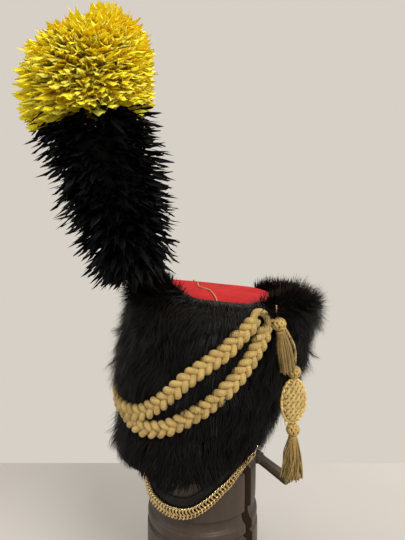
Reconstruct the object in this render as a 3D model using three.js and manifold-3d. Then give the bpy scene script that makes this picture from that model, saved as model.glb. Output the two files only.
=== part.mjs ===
// A fur busby with a cloth bag, a plume, plaited cap lines and a chained chin strap, on a turned stand.
// Millimetres, +Z up. The origin is the middle of the stand's foot.
// The front of the hat faces -Y and the wearer's left is +X, so the bag falls towards -X.
import * as THREE from 'three';
import { mergeVertices } from 'three/addons/utils/BufferGeometryUtils.js';
import Module from 'manifold-3d';

const wasm = await Module();
wasm.setup();

// Driving dimensions
const CLEARANCE = 0.35; // between pieces that touch
const AROUND = 44; // steps round the crown
const STAND_STEPS = 36; // steps round the stand
const DOME_STEPS = 8; // rings in the dome of the stand's post
const PLUME_STEPS = 24;
const FLOUNDER_STEPS = 8; // down the flounder
const STRAP_PIECES = 32; // along the strap
const LINE_PIECES = 2.2; // of a cap line for each point of its route
const WIRE_STEPS = 6; // round a hook or the seam

const BARREL_RADIUS = 77; // stand
const BARREL_TOP = 178;
const POST_RADIUS = 58;
const POST_FOOT = 200;
const SLOT_WIDTH = 16;
const SLOT_DEPTH = 40;
const SLOT_BOTTOM = 36;
const SLOT_TURN = 13; // degrees from +X towards +Y
const HANDLE_RADIUS = 8;
const HANDLE_LENGTH = 66;
const HANDLE_TURN = 30; // degrees from +X towards +Y
const HANDLE_DROP = 31; // degrees below level
const HANDLE_HEIGHT = 176;
const HANDLE_ROOT_TURN = 58; // where the handle starts on the barrel, from +X
const HANDLE_COLLAR = 0.3; // of its length
const HANDLE_COLLAR_GIRTH = 1.1; // of its radius
const HANDLE_NECK_GIRTH = 0.8;

const RIM_HEIGHT = 205; // crown
const RIM_FORWARD = 20; // the rim's middle lies this far in front of the stand's axis
const CROWN_HEIGHT = 212;
const CROWN_LENGTH = 284; // widest, front to back
const CROWN_NARROWING = 0.84; // width as a share of length
const CROWN_TOP_TILT = 8; // degrees that the top leans back
const TOP_DIP = 14; // how far the top's edge sinks over the left temple

const BAG_THICKNESS = 2;
const BAG_ANGLE = -112; // degrees from the front, where the bag hangs
const BAG_HALF_SPREAD = 38; // degrees either side at the crown's edge
const BAG_DROP = 0.62; // of the crown's height that the bag hangs down
const BAG_PUFF = 8; // the middle of the bag's top stands this far over its edge
const BAG_LIFT = 3 * CLEARANCE; // of the fall off the crown
const BAG_STEPS = 12; // across the fall
const BAG_TIP_SPREAD = 0.15; // of its half spread, at the fall's tip
const BAG_TOP_SHARES = [0.1, 0.4, 0.7, 0.97]; // rings of the bag's top, of the well's half length
const BAG_INSIDE_SHARES = [0.45, 0.72]; // the fall's rows over the top
const BAG_FALL_SHARES = [0.6, 0.7, 0.8, 0.88, 0.94, 1]; // the fall's last rows, of its drop
const PIPING_SHARES = [0.9, 0.6, 0.3, 0]; // the seam's places over the top
const PIPING_RADIUS = 1.3;

const PLUME_HEIGHT = 310;
const PLUME_RADIUS = 77;
const PLUME_REACH = 31; // its foot's middle stands this far in front of its stem
const PLUME_LEAN = 55; // how far it leans forward as it rises
const PLUME_LEAN_END = 0.8; // of its height, where it stops leaning
const PLUME_STEM_RADIUS = 4;
const PLUME_STEM_DEPTH = 26; // inside the crown
const PLUME_SEAT_GIRTH = 0.94; // of the crown's half length, where the stem stands
const PLUME_STEM_SHOW = 7; // between the crown and the plume

const PLAIT_WIDTH = 21;
const PLAIT_THICKNESS = 11;
const LINE_RADIUS = 4.5; // one strand of a cap line
const KNOT_RADIUS = 9;
const KNOT_FLATNESS = 0.9;
const HOOK_RADIUS = 1.1;
const HOOK_BEND = 0.15; // how far up a line hook bends, of its reach
const HOOK_RISE = 0.9; // how far up it ends
const EAR_HOOK_REACH = 6;
const FLOUNDER_LENGTH = 60;
const FLOUNDER_END_SWELL = 0.06; // the square of its width's share at its ends
const FLOUNDER_END_THICKNESS = 0.5; // of its thickness
const FLOUNDER_WIDTH = 37;
const FLOUNDER_FACING = 66; // degrees from the front
const FLOUNDER_THICKNESS = 13;
const LOWER_FRINGE_LENGTH = 58;
const FRINGE_RADIUS = 11;
const FRINGE_NECK = 0.6; // of its radius, where it leaves its knot
const FRINGE_NECK_SHARE = 0.5; // of its length
const FRINGE_FLARE = 0.22; // of its radius, at the lower fringe's end
const TASSEL_CORD_ASIDE = 0.8; // of the fringe's radius
const TASSEL_CORD_RADIUS = 2.2;

const STRAP_WIDTH = 29; // chin strap
const STRAP_THICKNESS = 2.5;
const STRAP_SQUARENESS = 0.4; // the power that squares its section's corners
const STRAP_END_SHARE = 0.42;
const CHAIN_WIDTH = 19;
const CHAIN_END_SHARE = 0.38;
const CHAIN_SWELL_POWER = 0.8; // how fast the strap and chain widen from their ends
const CHAIN_LINK_HALF = 0.8; // half a link's length, in pitches
const CHAIN_PITCH = 4.9;
const CHAIN_WIRE = 1.5;
const CHAIN_BELOW_STRAP = 5;
const CHAIN_SLANT = 24; // degrees that a link leans in the chain's face
const CHAIN_LAP = 12; // degrees that a link stands up on the one before it
const CHAIN_SOLIDS = ['chin_chain_left', 'chin_chain_centre', 'chin_chain_right'];

// The stand's outline up to the barrel's top: radius as a share of the barrel's, height of its top
const STAND_OUTLINE = [
  [1.09, 0], [1.12, 0.02], [1.12, 0.145], [1.09, 0.168], [0.96, 0.19], [1.02, 0.213],
  [1.04, 0.245], [1.04, 0.47], [1.02, 0.495], [0.98, 0.51], [1.02, 0.534], [1.03, 0.567],
  [1.02, 0.6], [0.975, 0.618], [0.945, 0.65], [0.945, 0.685], [0.985, 0.702], [1, 0.72],
  [1, 0.975], [0.975, 1],
].map(([radius, height]) => ({ radius, height }));

// The fur's outer form: height and backward shift as shares of the crown's height,
// half length as a share of the greatest half length
const FUR_SECTIONS = [
  [0, 0, 0.735], [0.05, 0.015, 0.765], [0.14, 0.05, 0.79], [0.26, 0.1, 0.83], [0.37, 0.14, 0.9],
  [0.5, 0.172, 0.965], [0.7, 0.24, 0.985], [0.87, 0.3, 1], [0.96, 0.32, 0.985], [1, 0.325, 0.93],
].map(([height, shift, girth]) => ({ height, shift, girth }));

// The lip and the well above the crown's top disc, then the hollow below it
const WELL_SECTIONS = [
  [0.99, 0.325, 0.85], [0.925, 0.32, 0.8],
].map(([height, shift, girth]) => ({ height, shift, girth }));
const HOLLOW_SECTIONS = [
  [0, 0, 0.665], [0.14, 0.05, 0.67], [0.3, 0.115, 0.69], [0.5, 0.175, 0.74], [0.895, 0.31, 0.765],
].map(([height, shift, girth]) => ({ height, shift, girth }));

// The plume: height as a share of its own, radius as a share of its greatest, and how far the
// middle stands behind the plume's own line, in such radii, because its top is domed to the back
const LOWER_PLUME = [
  [0, 0.44, 0], [0.06, 0.59, 0], [0.16, 0.675, 0], [0.29, 0.75, 0], [0.4, 0.8, 0],
  [0.5, 0.83, 0], [0.59, 0.86, 0],
].map(([height, girth, back]) => ({ height, girth, back }));
const UPPER_PLUME = [
  [0.59, 0.905, 0], [0.67, 0.935, 0], [0.76, 0.96, 0], [0.83, 0.93, 0.05], [0.875, 0.82, 0.14],
  [0.935, 0.57, 0.28], [1, 0.27, 0.42],
].map(([height, girth, back]) => ({ height, girth, back }));

// Cap lines on the fur: degrees from the front, height as a share of the crown's,
// and lift off the fur in plait thicknesses
const UPPER_LINE = [
  [66, 0.845, 0], [61, 0.775, 0], [55.5, 0.69, 0], [49.5, 0.637, 0], [42, 0.565, 0], [35, 0.492, 0],
  [28, 0.428, 0], [20, 0.368, 0], [12, 0.333, 0.05], [3, 0.32, 0.15], [-8, 0.325, 0.15],
  [-20, 0.345, 0], [-34, 0.395, -0.15], [-44, 0.47, -0.15], [-53, 0.6, -0.1], [-60, 0.73, 0],
  [-64, 0.82, 0],
].map(([angle, height, lift]) => ({ angle, height, lift }));
const LOWER_LINE = [
  [73.5, 0.795, 0], [71.5, 0.705, 0], [69, 0.64, 0], [66, 0.575, 0], [62, 0.515, 0], [57, 0.455, 0],
  [50.5, 0.395, 0], [43, 0.342, 0], [34, 0.288, 0], [24, 0.256, 0], [14, 0.25, 0], [5, 0.268, 0],
  [-6, 0.285, -0.25], [-18, 0.285, -0.6], [-32, 0.315, -0.7], [-45, 0.385, -0.7], [-56, 0.5, -0.6],
  [-63.5, 0.64, -0.4], [-68, 0.75, -0.1],
].map(([angle, height, lift]) => ({ angle, height, lift }));

// Where the loop and the tassel's pieces lie on the fur: degrees from the front, share of its height
const LOOP_ROUTE = [
  [65.5, 0.865], [66.5, 0.9], [69.5, 0.91], [72.5, 0.885], [74.5, 0.84],
].map(([angle, height]) => ({ angle, height }));
const HOOK_AT = { angle: 77, height: 0.915 };
const FAR_HOOK_AT = { angle: -65, height: 0.875 };
const UPPER_KNOT_AT = { angle: 79.5, height: 0.85 };
const UPPER_FRINGE_END_AT = { angle: 94, height: 0.58 };
const MIDDLE_KNOT_AT = { angle: 102, height: 0.56 };
const EAR_HOOK_AT = { angle: 102, height: 0.1 };

// The chin chain's route round the stand: degrees from the front, distance from the axis as a share of the
// crown's half length, and height over the rim as a share of the crown's height
const CHAIN_ROUTE = [
  [92, 0.6866, 0.0472], [88.5, 0.6725, 0.0236], [85, 0.6549, -0.0047], [82, 0.6338, -0.0377],
  [79, 0.6127, -0.0731], [73, 0.5986, -0.1226], [67, 0.5915, -0.1557], [56, 0.588, -0.2217],
  [43, 0.588, -0.283], [30, 0.588, -0.3113], [14, 0.588, -0.3137], [-2, 0.588, -0.2948],
  [-12, 0.588, -0.2594], [-20, 0.588, -0.2075], [-29, 0.588, -0.1462], [-42, 0.5915, -0.0943],
  [-58, 0.5986, -0.0566], [-70, 0.6232, -0.0425], [-79, 0.6514, -0.0236], [-85, 0.6725, 0],
  [-89, 0.6901, 0.0236], [-92, 0.7042, 0.0472],
].map(([angle, radius, height]) => ({ angle, radius, height }));

// Where the dip in the top's edge starts, is full, ends being full and ends, in degrees from the front, and the
// share of the crown's height that it starts at
const [DIP_FROM, DIP_FULL, DIP_FULL_END, DIP_TO] = [12, 34, 70, 94];
const DIP_BELOW = 0.88;

const UP = new THREE.Vector3(0, 0, 1);
const radians = THREE.MathUtils.degToRad;

// Solids from rings of points

function solidOf(geometry) {
  const bare = geometry.index ? geometry.toNonIndexed() : geometry.clone();
  for (const name of Object.keys(bare.attributes)) {
    if (name !== 'position') bare.deleteAttribute(name);
  }
  const merged = mergeVertices(bare, 1e-4);
  const points = merged.attributes.position.array;
  const corners = [];
  for (let i = 0; i < merged.index.count; i += 3) {
    const [a, b, c] = [0, 1, 2].map((k) => merged.index.getX(i + k));
    if (a !== b && b !== c && c !== a) corners.push(a, b, c);
  }
  return { points: Float32Array.from(points), corners: Uint32Array.from(corners) };
}

function volumeOf({ points, corners }) {
  const [a, b, c] = [new THREE.Vector3(), new THREE.Vector3(), new THREE.Vector3()];
  let volume = 0;
  for (let i = 0; i < corners.length; i += 3) {
    a.fromArray(points, corners[i] * 3);
    b.fromArray(points, corners[i + 1] * 3);
    c.fromArray(points, corners[i + 2] * 3);
    volume += a.dot(b.cross(c)) / 6;
  }
  return volume;
}

function manifoldOf(geometry) {
  const solid = solidOf(geometry);
  if (volumeOf(solid) < 0) solid.corners.reverse();
  const mesh = new wasm.Mesh({ numProp: 3, vertProperties: solid.points, triVerts: solid.corners });
  mesh.merge();
  return new wasm.Manifold(mesh);
}

function geometryOf(manifold) {
  const mesh = manifold.getMesh();
  const geometry = new THREE.BufferGeometry();
  geometry.setAttribute('position', new THREE.BufferAttribute(new Float32Array(mesh.vertProperties), 3));
  geometry.setIndex(new THREE.BufferAttribute(new Uint32Array(mesh.triVerts), 1));
  return geometry;
}

// A closed skin over rings that hold the same number of points, with a fan on each end.
function skin(rings) {
  const count = rings[0].length;
  const points = rings.flat();
  const corners = [];
  const at = (row, k) => row * count + (k % count);
  for (let row = 0; row + 1 < rings.length; row += 1) {
    for (let k = 0; k < count; k += 1) {
      corners.push(at(row, k), at(row, k + 1), at(row + 1, k + 1));
      corners.push(at(row, k), at(row + 1, k + 1), at(row + 1, k));
    }
  }
  for (const [row, turn] of [[0, 1], [rings.length - 1, 0]]) {
    const middle = new THREE.Vector3();
    rings[row].forEach((point) => middle.addScaledVector(point, 1 / count));
    points.push(middle);
    for (let k = 0; k < count; k += 1) {
      corners.push(points.length - 1, at(row, k + turn), at(row, k + 1 - turn));
    }
  }
  const geometry = new THREE.BufferGeometry().setFromPoints(points);
  geometry.setIndex(corners);
  return manifoldOf(geometry);
}

// A ring about a station; a power under 1 squares its corners.
function ringAt({ middle, across, out, halfWidth, halfThickness }, steps, power = 1) {
  return Array.from({ length: steps }, (_, k) => {
    const turn = ((k + 0.5) / steps) * 2 * Math.PI;
    const [c, s] = [Math.cos(turn), Math.sin(turn)];
    return middle.clone()
      .addScaledVector(across, halfWidth * Math.sign(c) * Math.abs(c) ** power)
      .addScaledVector(out, halfThickness * Math.sign(s) * Math.abs(s) ** power);
  });
}

function sweep(stations, steps, power, lengthen = 0) {
  const rings = stations.map((station) => ringAt(station, steps, power));
  if (lengthen) {
    for (const [end, next] of [[0, 1], [stations.length - 1, stations.length - 2]]) {
      const past = stations[end].middle.clone().sub(stations[next].middle).setLength(lengthen);
      rings[end].forEach((point) => point.add(past));
    }
  }
  return skin(rings);
}

// A round rod through points, with radii that follow it.
function rod(points, radius, { steps = 8, pieces = 12 } = {}) {
  const curve = new THREE.CatmullRomCurve3(points, false, 'centripetal');
  const frames = curve.computeFrenetFrames(pieces);
  return sweep(frames.tangents.map((_, i) => {
    const share = i / pieces;
    const size = typeof radius === 'function' ? radius(share) : radius;
    return {
      middle: curve.getPointAt(share),
      across: frames.normals[i],
      out: frames.binormals[i],
      halfWidth: size,
      halfThickness: size,
    };
  }), steps);
}

function lathe(outline, steps) {
  const geometry = new THREE.LatheGeometry(outline.map(([radius, z]) => new THREE.Vector2(radius, z)), steps);
  geometry.rotateX(Math.PI / 2);
  return manifoldOf(geometry);
}

// A solid grown about its middle by the clearance, to cut its neighbour with
function apart(manifold) {
  const { min, max } = manifold.boundingBox();
  const middle = min.map((low, k) => (low + max[k]) / 2);
  const grow = min.map((low, k) => 1 + (6 * CLEARANCE) / (max[k] - low));
  const back = middle.map((value) => -value);
  return manifold.translate(back).scale(grow).translate(middle);
}

// The crown's surface

function sectionAt(table, height) {
  const next = Math.max(1, table.findIndex((row, i) => i > 0 && row.height >= height));
  const [a, b] = [table[next - 1], table[next]];
  const share = (height - a.height) / (b.height - a.height);
  return {
    height,
    shift: THREE.MathUtils.lerp(a.shift, b.shift, share),
    girth: THREE.MathUtils.lerp(a.girth, b.girth, share),
  };
}

// How far the crown's surface sinks at a place because of the dip in its top edge
function topDip(height, girth, angle) {
  const round = THREE.MathUtils.euclideanModulo(angle, 360);
  const { smoothstep } = THREE.MathUtils;
  const aside = smoothstep(round, DIP_FROM, DIP_FULL) * (1 - smoothstep(round, DIP_FULL_END, DIP_TO));
  return TOP_DIP * smoothstep(height, DIP_BELOW, 1) * aside * girth ** 2;
}

function crownPoint({ height, shift, girth }, angle, grow = 0) {
  const halfLength = (CROWN_LENGTH / 2) * girth + grow;
  const halfWidth = (CROWN_LENGTH / 2) * girth * CROWN_NARROWING + grow;
  const tilt = radians(CROWN_TOP_TILT) * height;
  const along = -halfLength * Math.cos(radians(angle));
  return new THREE.Vector3(
    halfWidth * Math.sin(radians(angle)),
    shift * CROWN_HEIGHT - RIM_FORWARD + along * Math.cos(tilt),
    RIM_HEIGHT + height * CROWN_HEIGHT - along * Math.sin(tilt) - topDip(height, girth, angle),
  );
}

function crownRing(section, grow = 0) {
  return Array.from({ length: AROUND }, (_, k) => crownPoint(section, (k * 360) / AROUND, grow));
}

function furPoint(angle, height) {
  return crownPoint(sectionAt(FUR_SECTIONS, height), angle);
}

function furNormal(angle, height) {
  const step = 0.02;
  const round = furPoint(angle + 1, height).sub(furPoint(angle - 1, height));
  const up = furPoint(angle, Math.min(1, height + step)).sub(furPoint(angle, Math.max(0, height - step)));
  return round.cross(up).normalize();
}

// A point off the fur by a distance
function offFur({ angle, height }, distance) {
  return furPoint(angle, height).addScaledVector(furNormal(angle, height), distance);
}

// The fur's outer form without its hollow and well, grown by a distance
function furForm(grow) {
  const bottom = crownRing(FUR_SECTIONS[0], grow).map((point) => point.addScaledVector(UP, -grow));
  const top = crownRing(FUR_SECTIONS.at(-1), grow).map((point) => point.addScaledVector(UP, grow));
  return skin([bottom, ...FUR_SECTIONS.map((section) => crownRing(section, grow)), top]);
}

// Pieces

function crownTopTilt(height) {
  const tilt = radians(CROWN_TOP_TILT) * height;
  return new THREE.Vector3(0, Math.sin(tilt), Math.cos(tilt));
}

function standColumn(grow = 0) {
  const under = HOLLOW_SECTIONS.at(-1);
  const normal = crownTopTilt(under.height);
  const disc = crownPoint({ ...under, girth: 0 }, 0);
  const domeMiddle = (disc.dot(normal) - POST_RADIUS - CLEARANCE) / normal.z;
  const outline = STAND_OUTLINE.map(({ radius, height }) => [
    radius * BARREL_RADIUS + grow,
    height * BARREL_TOP,
  ]);
  const shoulder = [POST_RADIUS + (BARREL_RADIUS - POST_RADIUS) / 3 + grow, (BARREL_TOP + POST_FOOT) / 2];
  const dome = Array.from({ length: DOME_STEPS }, (_, k) => {
    const turn = (k / DOME_STEPS) * (Math.PI / 2);
    return [POST_RADIUS * Math.cos(turn), domeMiddle + POST_RADIUS * Math.sin(turn)];
  });
  const peak = [0, domeMiddle + POST_RADIUS];
  const column = lathe([[0, 0], ...outline, shoulder, [POST_RADIUS, POST_FOOT], ...dome, peak], STAND_STEPS);
  const height = POST_FOOT - SLOT_BOTTOM;
  const slot = new THREE.BoxGeometry(2 * SLOT_DEPTH, SLOT_WIDTH, height);
  slot.translate(BARREL_RADIUS, 0, SLOT_BOTTOM + height / 2);
  slot.rotateZ(radians(SLOT_TURN));
  return column.subtract(manifoldOf(slot));
}

function standHandle() {
  const turn = radians(HANDLE_TURN);
  const drop = radians(HANDLE_DROP);
  const along = new THREE.Vector3(
    Math.cos(turn) * Math.cos(drop),
    Math.sin(turn) * Math.cos(drop),
    -Math.sin(drop),
  );
  const root = new THREE.Vector3(Math.cos(radians(HANDLE_ROOT_TURN)), Math.sin(radians(HANDLE_ROOT_TURN)), 0)
    .multiplyScalar(BARREL_RADIUS - HANDLE_RADIUS / 2).setZ(HANDLE_HEIGHT);
  const girth = (share) => HANDLE_RADIUS
    * (share < HANDLE_COLLAR ? HANDLE_COLLAR_GIRTH : THREE.MathUtils.lerp(HANDLE_NECK_GIRTH, 1, share));
  const points = [0, 0.5, 1].map((share) => root.clone().addScaledVector(along, share * HANDLE_LENGTH));
  return rod(points, girth, { steps: 12, pieces: 8 }).subtract(standColumn(CLEARANCE));
}

function furCrown() {
  return skin([
    ...HOLLOW_SECTIONS.toReversed(), ...FUR_SECTIONS, ...WELL_SECTIONS,
  ].map((section) => crownRing(section))).subtract(plumeStem(CLEARANCE));
}

// A sheet from rows of points that carry their under and over sides
function sheetOf(rows) {
  const [deep, wide] = [rows.length, rows[0].length];
  const points = [...rows.flat().map(({ under }) => under), ...rows.flat().map(({ over }) => over)];
  const at = (row, k, side) => side * deep * wide + row * wide + k;
  const corners = [];
  const quad = (a, b, c, d) => corners.push(a, b, c, a, c, d);
  for (let row = 0; row + 1 < deep; row += 1) {
    for (let k = 0; k + 1 < wide; k += 1) {
      quad(at(row, k, 1), at(row + 1, k, 1), at(row + 1, k + 1, 1), at(row, k + 1, 1));
      quad(at(row, k, 0), at(row, k + 1, 0), at(row + 1, k + 1, 0), at(row + 1, k, 0));
    }
    quad(at(row, 0, 0), at(row + 1, 0, 0), at(row + 1, 0, 1), at(row, 0, 1));
    quad(at(row, wide - 1, 1), at(row + 1, wide - 1, 1), at(row + 1, wide - 1, 0), at(row, wide - 1, 0));
  }
  for (let k = 0; k + 1 < wide; k += 1) {
    quad(at(0, k, 1), at(0, k + 1, 1), at(0, k + 1, 0), at(0, k, 0));
    quad(at(deep - 1, k, 0), at(deep - 1, k + 1, 0), at(deep - 1, k + 1, 1), at(deep - 1, k, 1));
  }
  const geometry = new THREE.BufferGeometry().setFromPoints(points);
  geometry.setIndex(corners);
  return manifoldOf(geometry);
}

function bagPuff(share) {
  return BAG_PUFF * (1 - share ** 2);
}

// The crown's section under each row of the bag's fall, the row's spread and its height off the crown
function bagRows() {
  const well = WELL_SECTIONS.at(-1);
  const inside = BAG_INSIDE_SHARES.map((share) => ({
    section: { ...well, girth: well.girth * share },
    spread: 1,
    off: CLEARANCE + bagPuff(share) + BAG_THICKNESS / 2,
  }));
  const taper = BAG_FALL_SHARES.map((fall) => 1 - fall * BAG_DROP);
  const down = FUR_SECTIONS.map(({ height }) => height).filter((height) => height > taper[0]).toReversed();
  const outside = [...down, ...taper].map((height) => {
    const fall = (1 - height) / BAG_DROP;
    return {
      section: sectionAt(FUR_SECTIONS, height),
      spread: Math.max(BAG_TIP_SPREAD, Math.sqrt(1 - Math.min(1, fall ** 3))),
      off: BAG_LIFT,
    };
  });
  outside.unshift({ section: WELL_SECTIONS[0], spread: 1, off: BAG_LIFT });
  return [...inside, ...outside];
}

function bagPoint(rows, row, angle, off) {
  const round = crownPoint(rows[row].section, angle + 1).sub(crownPoint(rows[row].section, angle - 1));
  const next = crownPoint(rows[Math.min(row + 1, rows.length - 1)].section, angle);
  const way = next.sub(crownPoint(rows[Math.max(row - 1, 0)].section, angle));
  return crownPoint(rows[row].section, angle).addScaledVector(way.cross(round).normalize(), off);
}

function bag() {
  const well = WELL_SECTIONS.at(-1);
  const normal = crownTopTilt(well.height);
  const disc = (share, off) => crownRing({ ...well, girth: well.girth * share })
    .map((point) => point.addScaledVector(normal, off + bagPuff(share)));
  const top = skin([
    ...BAG_TOP_SHARES.map((share) => disc(share, CLEARANCE)),
    ...BAG_TOP_SHARES.toReversed().map((share) => disc(share, CLEARANCE + BAG_THICKNESS)),
  ]);
  const rows = bagRows();
  const fall = sheetOf(rows.map(({ spread, off }, row) => Array.from({ length: BAG_STEPS + 1 }, (_, k) => {
    const angle = BAG_ANGLE + BAG_HALF_SPREAD * spread * ((2 * k) / BAG_STEPS - 1);
    return {
      under: bagPoint(rows, row, angle, off),
      over: bagPoint(rows, row, angle, off + BAG_THICKNESS),
    };
  })));
  return top.add(fall);
}

// The raised seam runs across the bag's top and down the middle of its fall.
function bagPiping() {
  const well = WELL_SECTIONS.at(-1);
  const normal = crownTopTilt(well.height);
  const lift = BAG_THICKNESS + PIPING_RADIUS + 4 * CLEARANCE;
  const across = PIPING_SHARES.map((share) => crownPoint(
    { ...well, girth: well.girth * share },
    BAG_ANGLE + 180,
  ).addScaledVector(normal, CLEARANCE + bagPuff(share) + lift));
  const rows = bagRows();
  const down = rows.slice(0, -1).map(({ off }, row) => bagPoint(rows, row, BAG_ANGLE, off + lift));
  return rod([...across, ...down], PIPING_RADIUS, { steps: WIRE_STEPS, pieces: 36 });
}

// Where the plume's stem leaves the crown's front edge
function plumeSeat() {
  return crownPoint({ ...sectionAt(FUR_SECTIONS, 1), girth: PLUME_SEAT_GIRTH }, 0);
}

// The plume's middle line leans forward as it rises, then stands upright.
function plumeAxis(height) {
  const turn = Math.PI * Math.min(1, height / PLUME_LEAN_END);
  const lean = (PLUME_LEAN * (1 - Math.cos(turn))) / 2;
  const slope = (PLUME_LEAN * Math.PI * Math.sin(turn)) / (2 * PLUME_LEAN_END);
  return {
    middle: plumeSeat().add(new THREE.Vector3(
      0,
      -PLUME_REACH - lean,
      PLUME_STEM_SHOW + height * PLUME_HEIGHT,
    )),
    along: new THREE.Vector3(0, -slope, PLUME_HEIGHT).normalize(),
  };
}

function plume(table, lift) {
  const across = new THREE.Vector3(1, 0, 0);
  return sweep(table.map(({ height, girth, back }) => {
    const { middle, along } = plumeAxis(height);
    middle.y += back * PLUME_RADIUS;
    return {
      middle: middle.addScaledVector(along, lift),
      across,
      out: along.clone().cross(across),
      halfWidth: girth * PLUME_RADIUS,
      halfThickness: girth * PLUME_RADIUS,
    };
  }), PLUME_STEPS);
}

// The stem stands in the crown's front and ends under the plume.
function plumeStem(grow) {
  const top = PLUME_STEM_SHOW - 1.5 * CLEARANCE + grow;
  const bottom = -PLUME_STEM_DEPTH - grow;
  const radius = PLUME_STEM_RADIUS + grow;
  const outline = [[0, bottom], [radius, bottom], [radius, top], [0, top]];
  return lathe(outline, 12).translate(plumeSeat().toArray());
}

// A cap line as one flat tube of the plait's outer form
function capLine(table, grow) {
  const route = new THREE.CatmullRomCurve3(
    table.map(({ angle, height, lift }) => new THREE.Vector3(angle, height, lift)),
  );
  const place = (share) => {
    const { x: angle, y: height, z: lift } = route.getPoint(share);
    return offFur({ angle, height }, CLEARANCE + PLAIT_THICKNESS * (0.5 + lift));
  };
  const pieces = Math.round(LINE_PIECES * (table.length - 1));
  return sweep(Array.from({ length: pieces + 1 }, (_, i) => {
    const share = i / pieces;
    const { x: angle, y: height } = route.getPoint(share);
    const out = furNormal(angle, height);
    const along = place(Math.min(1, share + 0.01)).sub(place(Math.max(0, share - 0.01))).normalize();
    return {
      middle: place(share),
      across: along.cross(out).normalize(),
      out,
      halfWidth: PLAIT_WIDTH / 2 + grow,
      halfThickness: PLAIT_THICKNESS / 2 + grow,
    };
  }), 10, 1, grow);
}

// The loop that joins the two cap lines round their hook
function capLineLoop(grow) {
  const points = LOOP_ROUTE.map((at) => offFur(at, CLEARANCE + LINE_RADIUS));
  return rod(points, LINE_RADIUS + grow, { pieces: 12 });
}

// A wire hook that stands out of the fur and turns up
function lineHook(at) {
  const reach = LINE_RADIUS * 2;
  const tip = offFur(at, reach);
  const bend = tip.clone().addScaledVector(UP, reach * HOOK_BEND);
  const end = tip.clone().addScaledVector(UP, reach * HOOK_RISE);
  return rod([offFur(at, CLEARANCE), tip, bend, end], HOOK_RADIUS, { steps: WIRE_STEPS, pieces: 8 });
}

// A hook that comes down from the fur to one end of the chin chain
function earHook(side) {
  const { middle, along } = chainStation(side > 0 ? 0 : 1);
  const end = middle.addScaledVector(along, -side * (CLEARANCE + CHAIN_PITCH * 0.35));
  const at = { angle: side * EAR_HOOK_AT.angle, height: EAR_HOOK_AT.height };
  const foot = offFur(at, CLEARANCE);
  const top = offFur(at, EAR_HOOK_REACH);
  return rod([foot, top, top.clone().lerp(end, 0.5), end], HOOK_RADIUS, { steps: WIRE_STEPS, pieces: 10 });
}

function knot(middle, grow) {
  const ball = new THREE.SphereGeometry(KNOT_RADIUS + grow, 12, 7);
  ball.rotateX(Math.PI / 2);
  ball.scale(1, 1, KNOT_FLATNESS);
  return manifoldOf(ball.translate(...middle.toArray()));
}

// A fringe hangs from a knot to an end, narrow at its neck, and opens a little towards a free end.
function fringe(from, to, flare = 0) {
  const girth = (share) => FRINGE_RADIUS
    * (THREE.MathUtils.lerp(FRINGE_NECK, 1, Math.min(1, share / FRINGE_NECK_SHARE)) + flare * share);
  return rod([from, from.clone().lerp(to, 0.5), to], girth, { steps: 12, pieces: 6 });
}

// The tassel lies on the fur down to its middle knot and hangs straight below it.
function tassel(loop) {
  const below = (from, distance) => from.clone().addScaledVector(UP, -distance);
  const half = KNOT_RADIUS * KNOT_FLATNESS;
  const upperKnot = offFur(UPPER_KNOT_AT, KNOT_RADIUS + CLEARANCE);
  const middleKnot = offFur(MIDDLE_KNOT_AT, KNOT_RADIUS + CLEARANCE);
  const fringeTo = offFur(UPPER_FRINGE_END_AT, FRINGE_RADIUS + CLEARANCE);
  const fringeWay = fringeTo.clone().sub(upperKnot).normalize();
  const fringeFrom = upperKnot.clone().addScaledVector(fringeWay, KNOT_RADIUS + CLEARANCE);
  const flounderTop = below(middleKnot, half + CLEARANCE);
  const lowerKnot = below(flounderTop, FLOUNDER_LENGTH + half + CLEARANCE);
  const lowerFringeTop = below(lowerKnot, half + CLEARANCE);
  const facing = radians(FLOUNDER_FACING);
  const out = new THREE.Vector3(Math.sin(facing), -Math.cos(facing), 0);
  const across = UP.clone().cross(out);
  const flounder = sweep(Array.from({ length: FLOUNDER_STEPS + 1 }, (_, k) => {
    const share = k / FLOUNDER_STEPS;
    const swell = Math.sqrt(Math.max(FLOUNDER_END_SWELL, 1 - (2 * share - 1) ** 2));
    return {
      middle: below(flounderTop, FLOUNDER_LENGTH * share),
      across,
      out,
      halfWidth: (FLOUNDER_WIDTH / 2) * swell,
      halfThickness: (FLOUNDER_THICKNESS / 2) * Math.max(FLOUNDER_END_THICKNESS, swell),
    };
  }), 12);
  const cordWay = [
    upperKnot.clone().addScaledVector(across, KNOT_RADIUS / 2),
    upperKnot.clone().lerp(middleKnot, 0.5).addScaledVector(across, FRINGE_RADIUS * TASSEL_CORD_ASIDE),
    middleKnot,
  ];
  const cordEnds = knot(upperKnot, CLEARANCE).add(knot(middleKnot, CLEARANCE));
  const cord = rod(cordWay, TASSEL_CORD_RADIUS, { steps: 8, pieces: 10 });
  const upperFringe = fringe(fringeFrom, fringeTo);
  const pieces = {
    upper_tassel_knot: knot(upperKnot, 0).subtract(loop),
    upper_tassel_fringe: upperFringe.subtract(rod(cordWay, TASSEL_CORD_RADIUS + CLEARANCE, {
      steps: 8, pieces: 10,
    })).subtract(knot(middleKnot, CLEARANCE)),
    tassel_cord: cord.subtract(cordEnds),
    middle_knot: knot(middleKnot, 0),
    flounder,
    lower_tassel_knot: knot(lowerKnot, 0),
    lower_tassel_fringe: fringe(lowerFringeTop, below(lowerFringeTop, LOWER_FRINGE_LENGTH), FRINGE_FLARE),
  };
  return Object.entries(pieces);
}

// The chin strap and its chain

const chainCurve = new THREE.CatmullRomCurve3(CHAIN_ROUTE.map(({ angle, radius, height }) => {
  const reach = radius * (CROWN_LENGTH / 2);
  return new THREE.Vector3(
    reach * Math.sin(radians(angle)),
    -reach * Math.cos(radians(angle)),
    RIM_HEIGHT + height * CROWN_HEIGHT,
  );
}));

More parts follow.
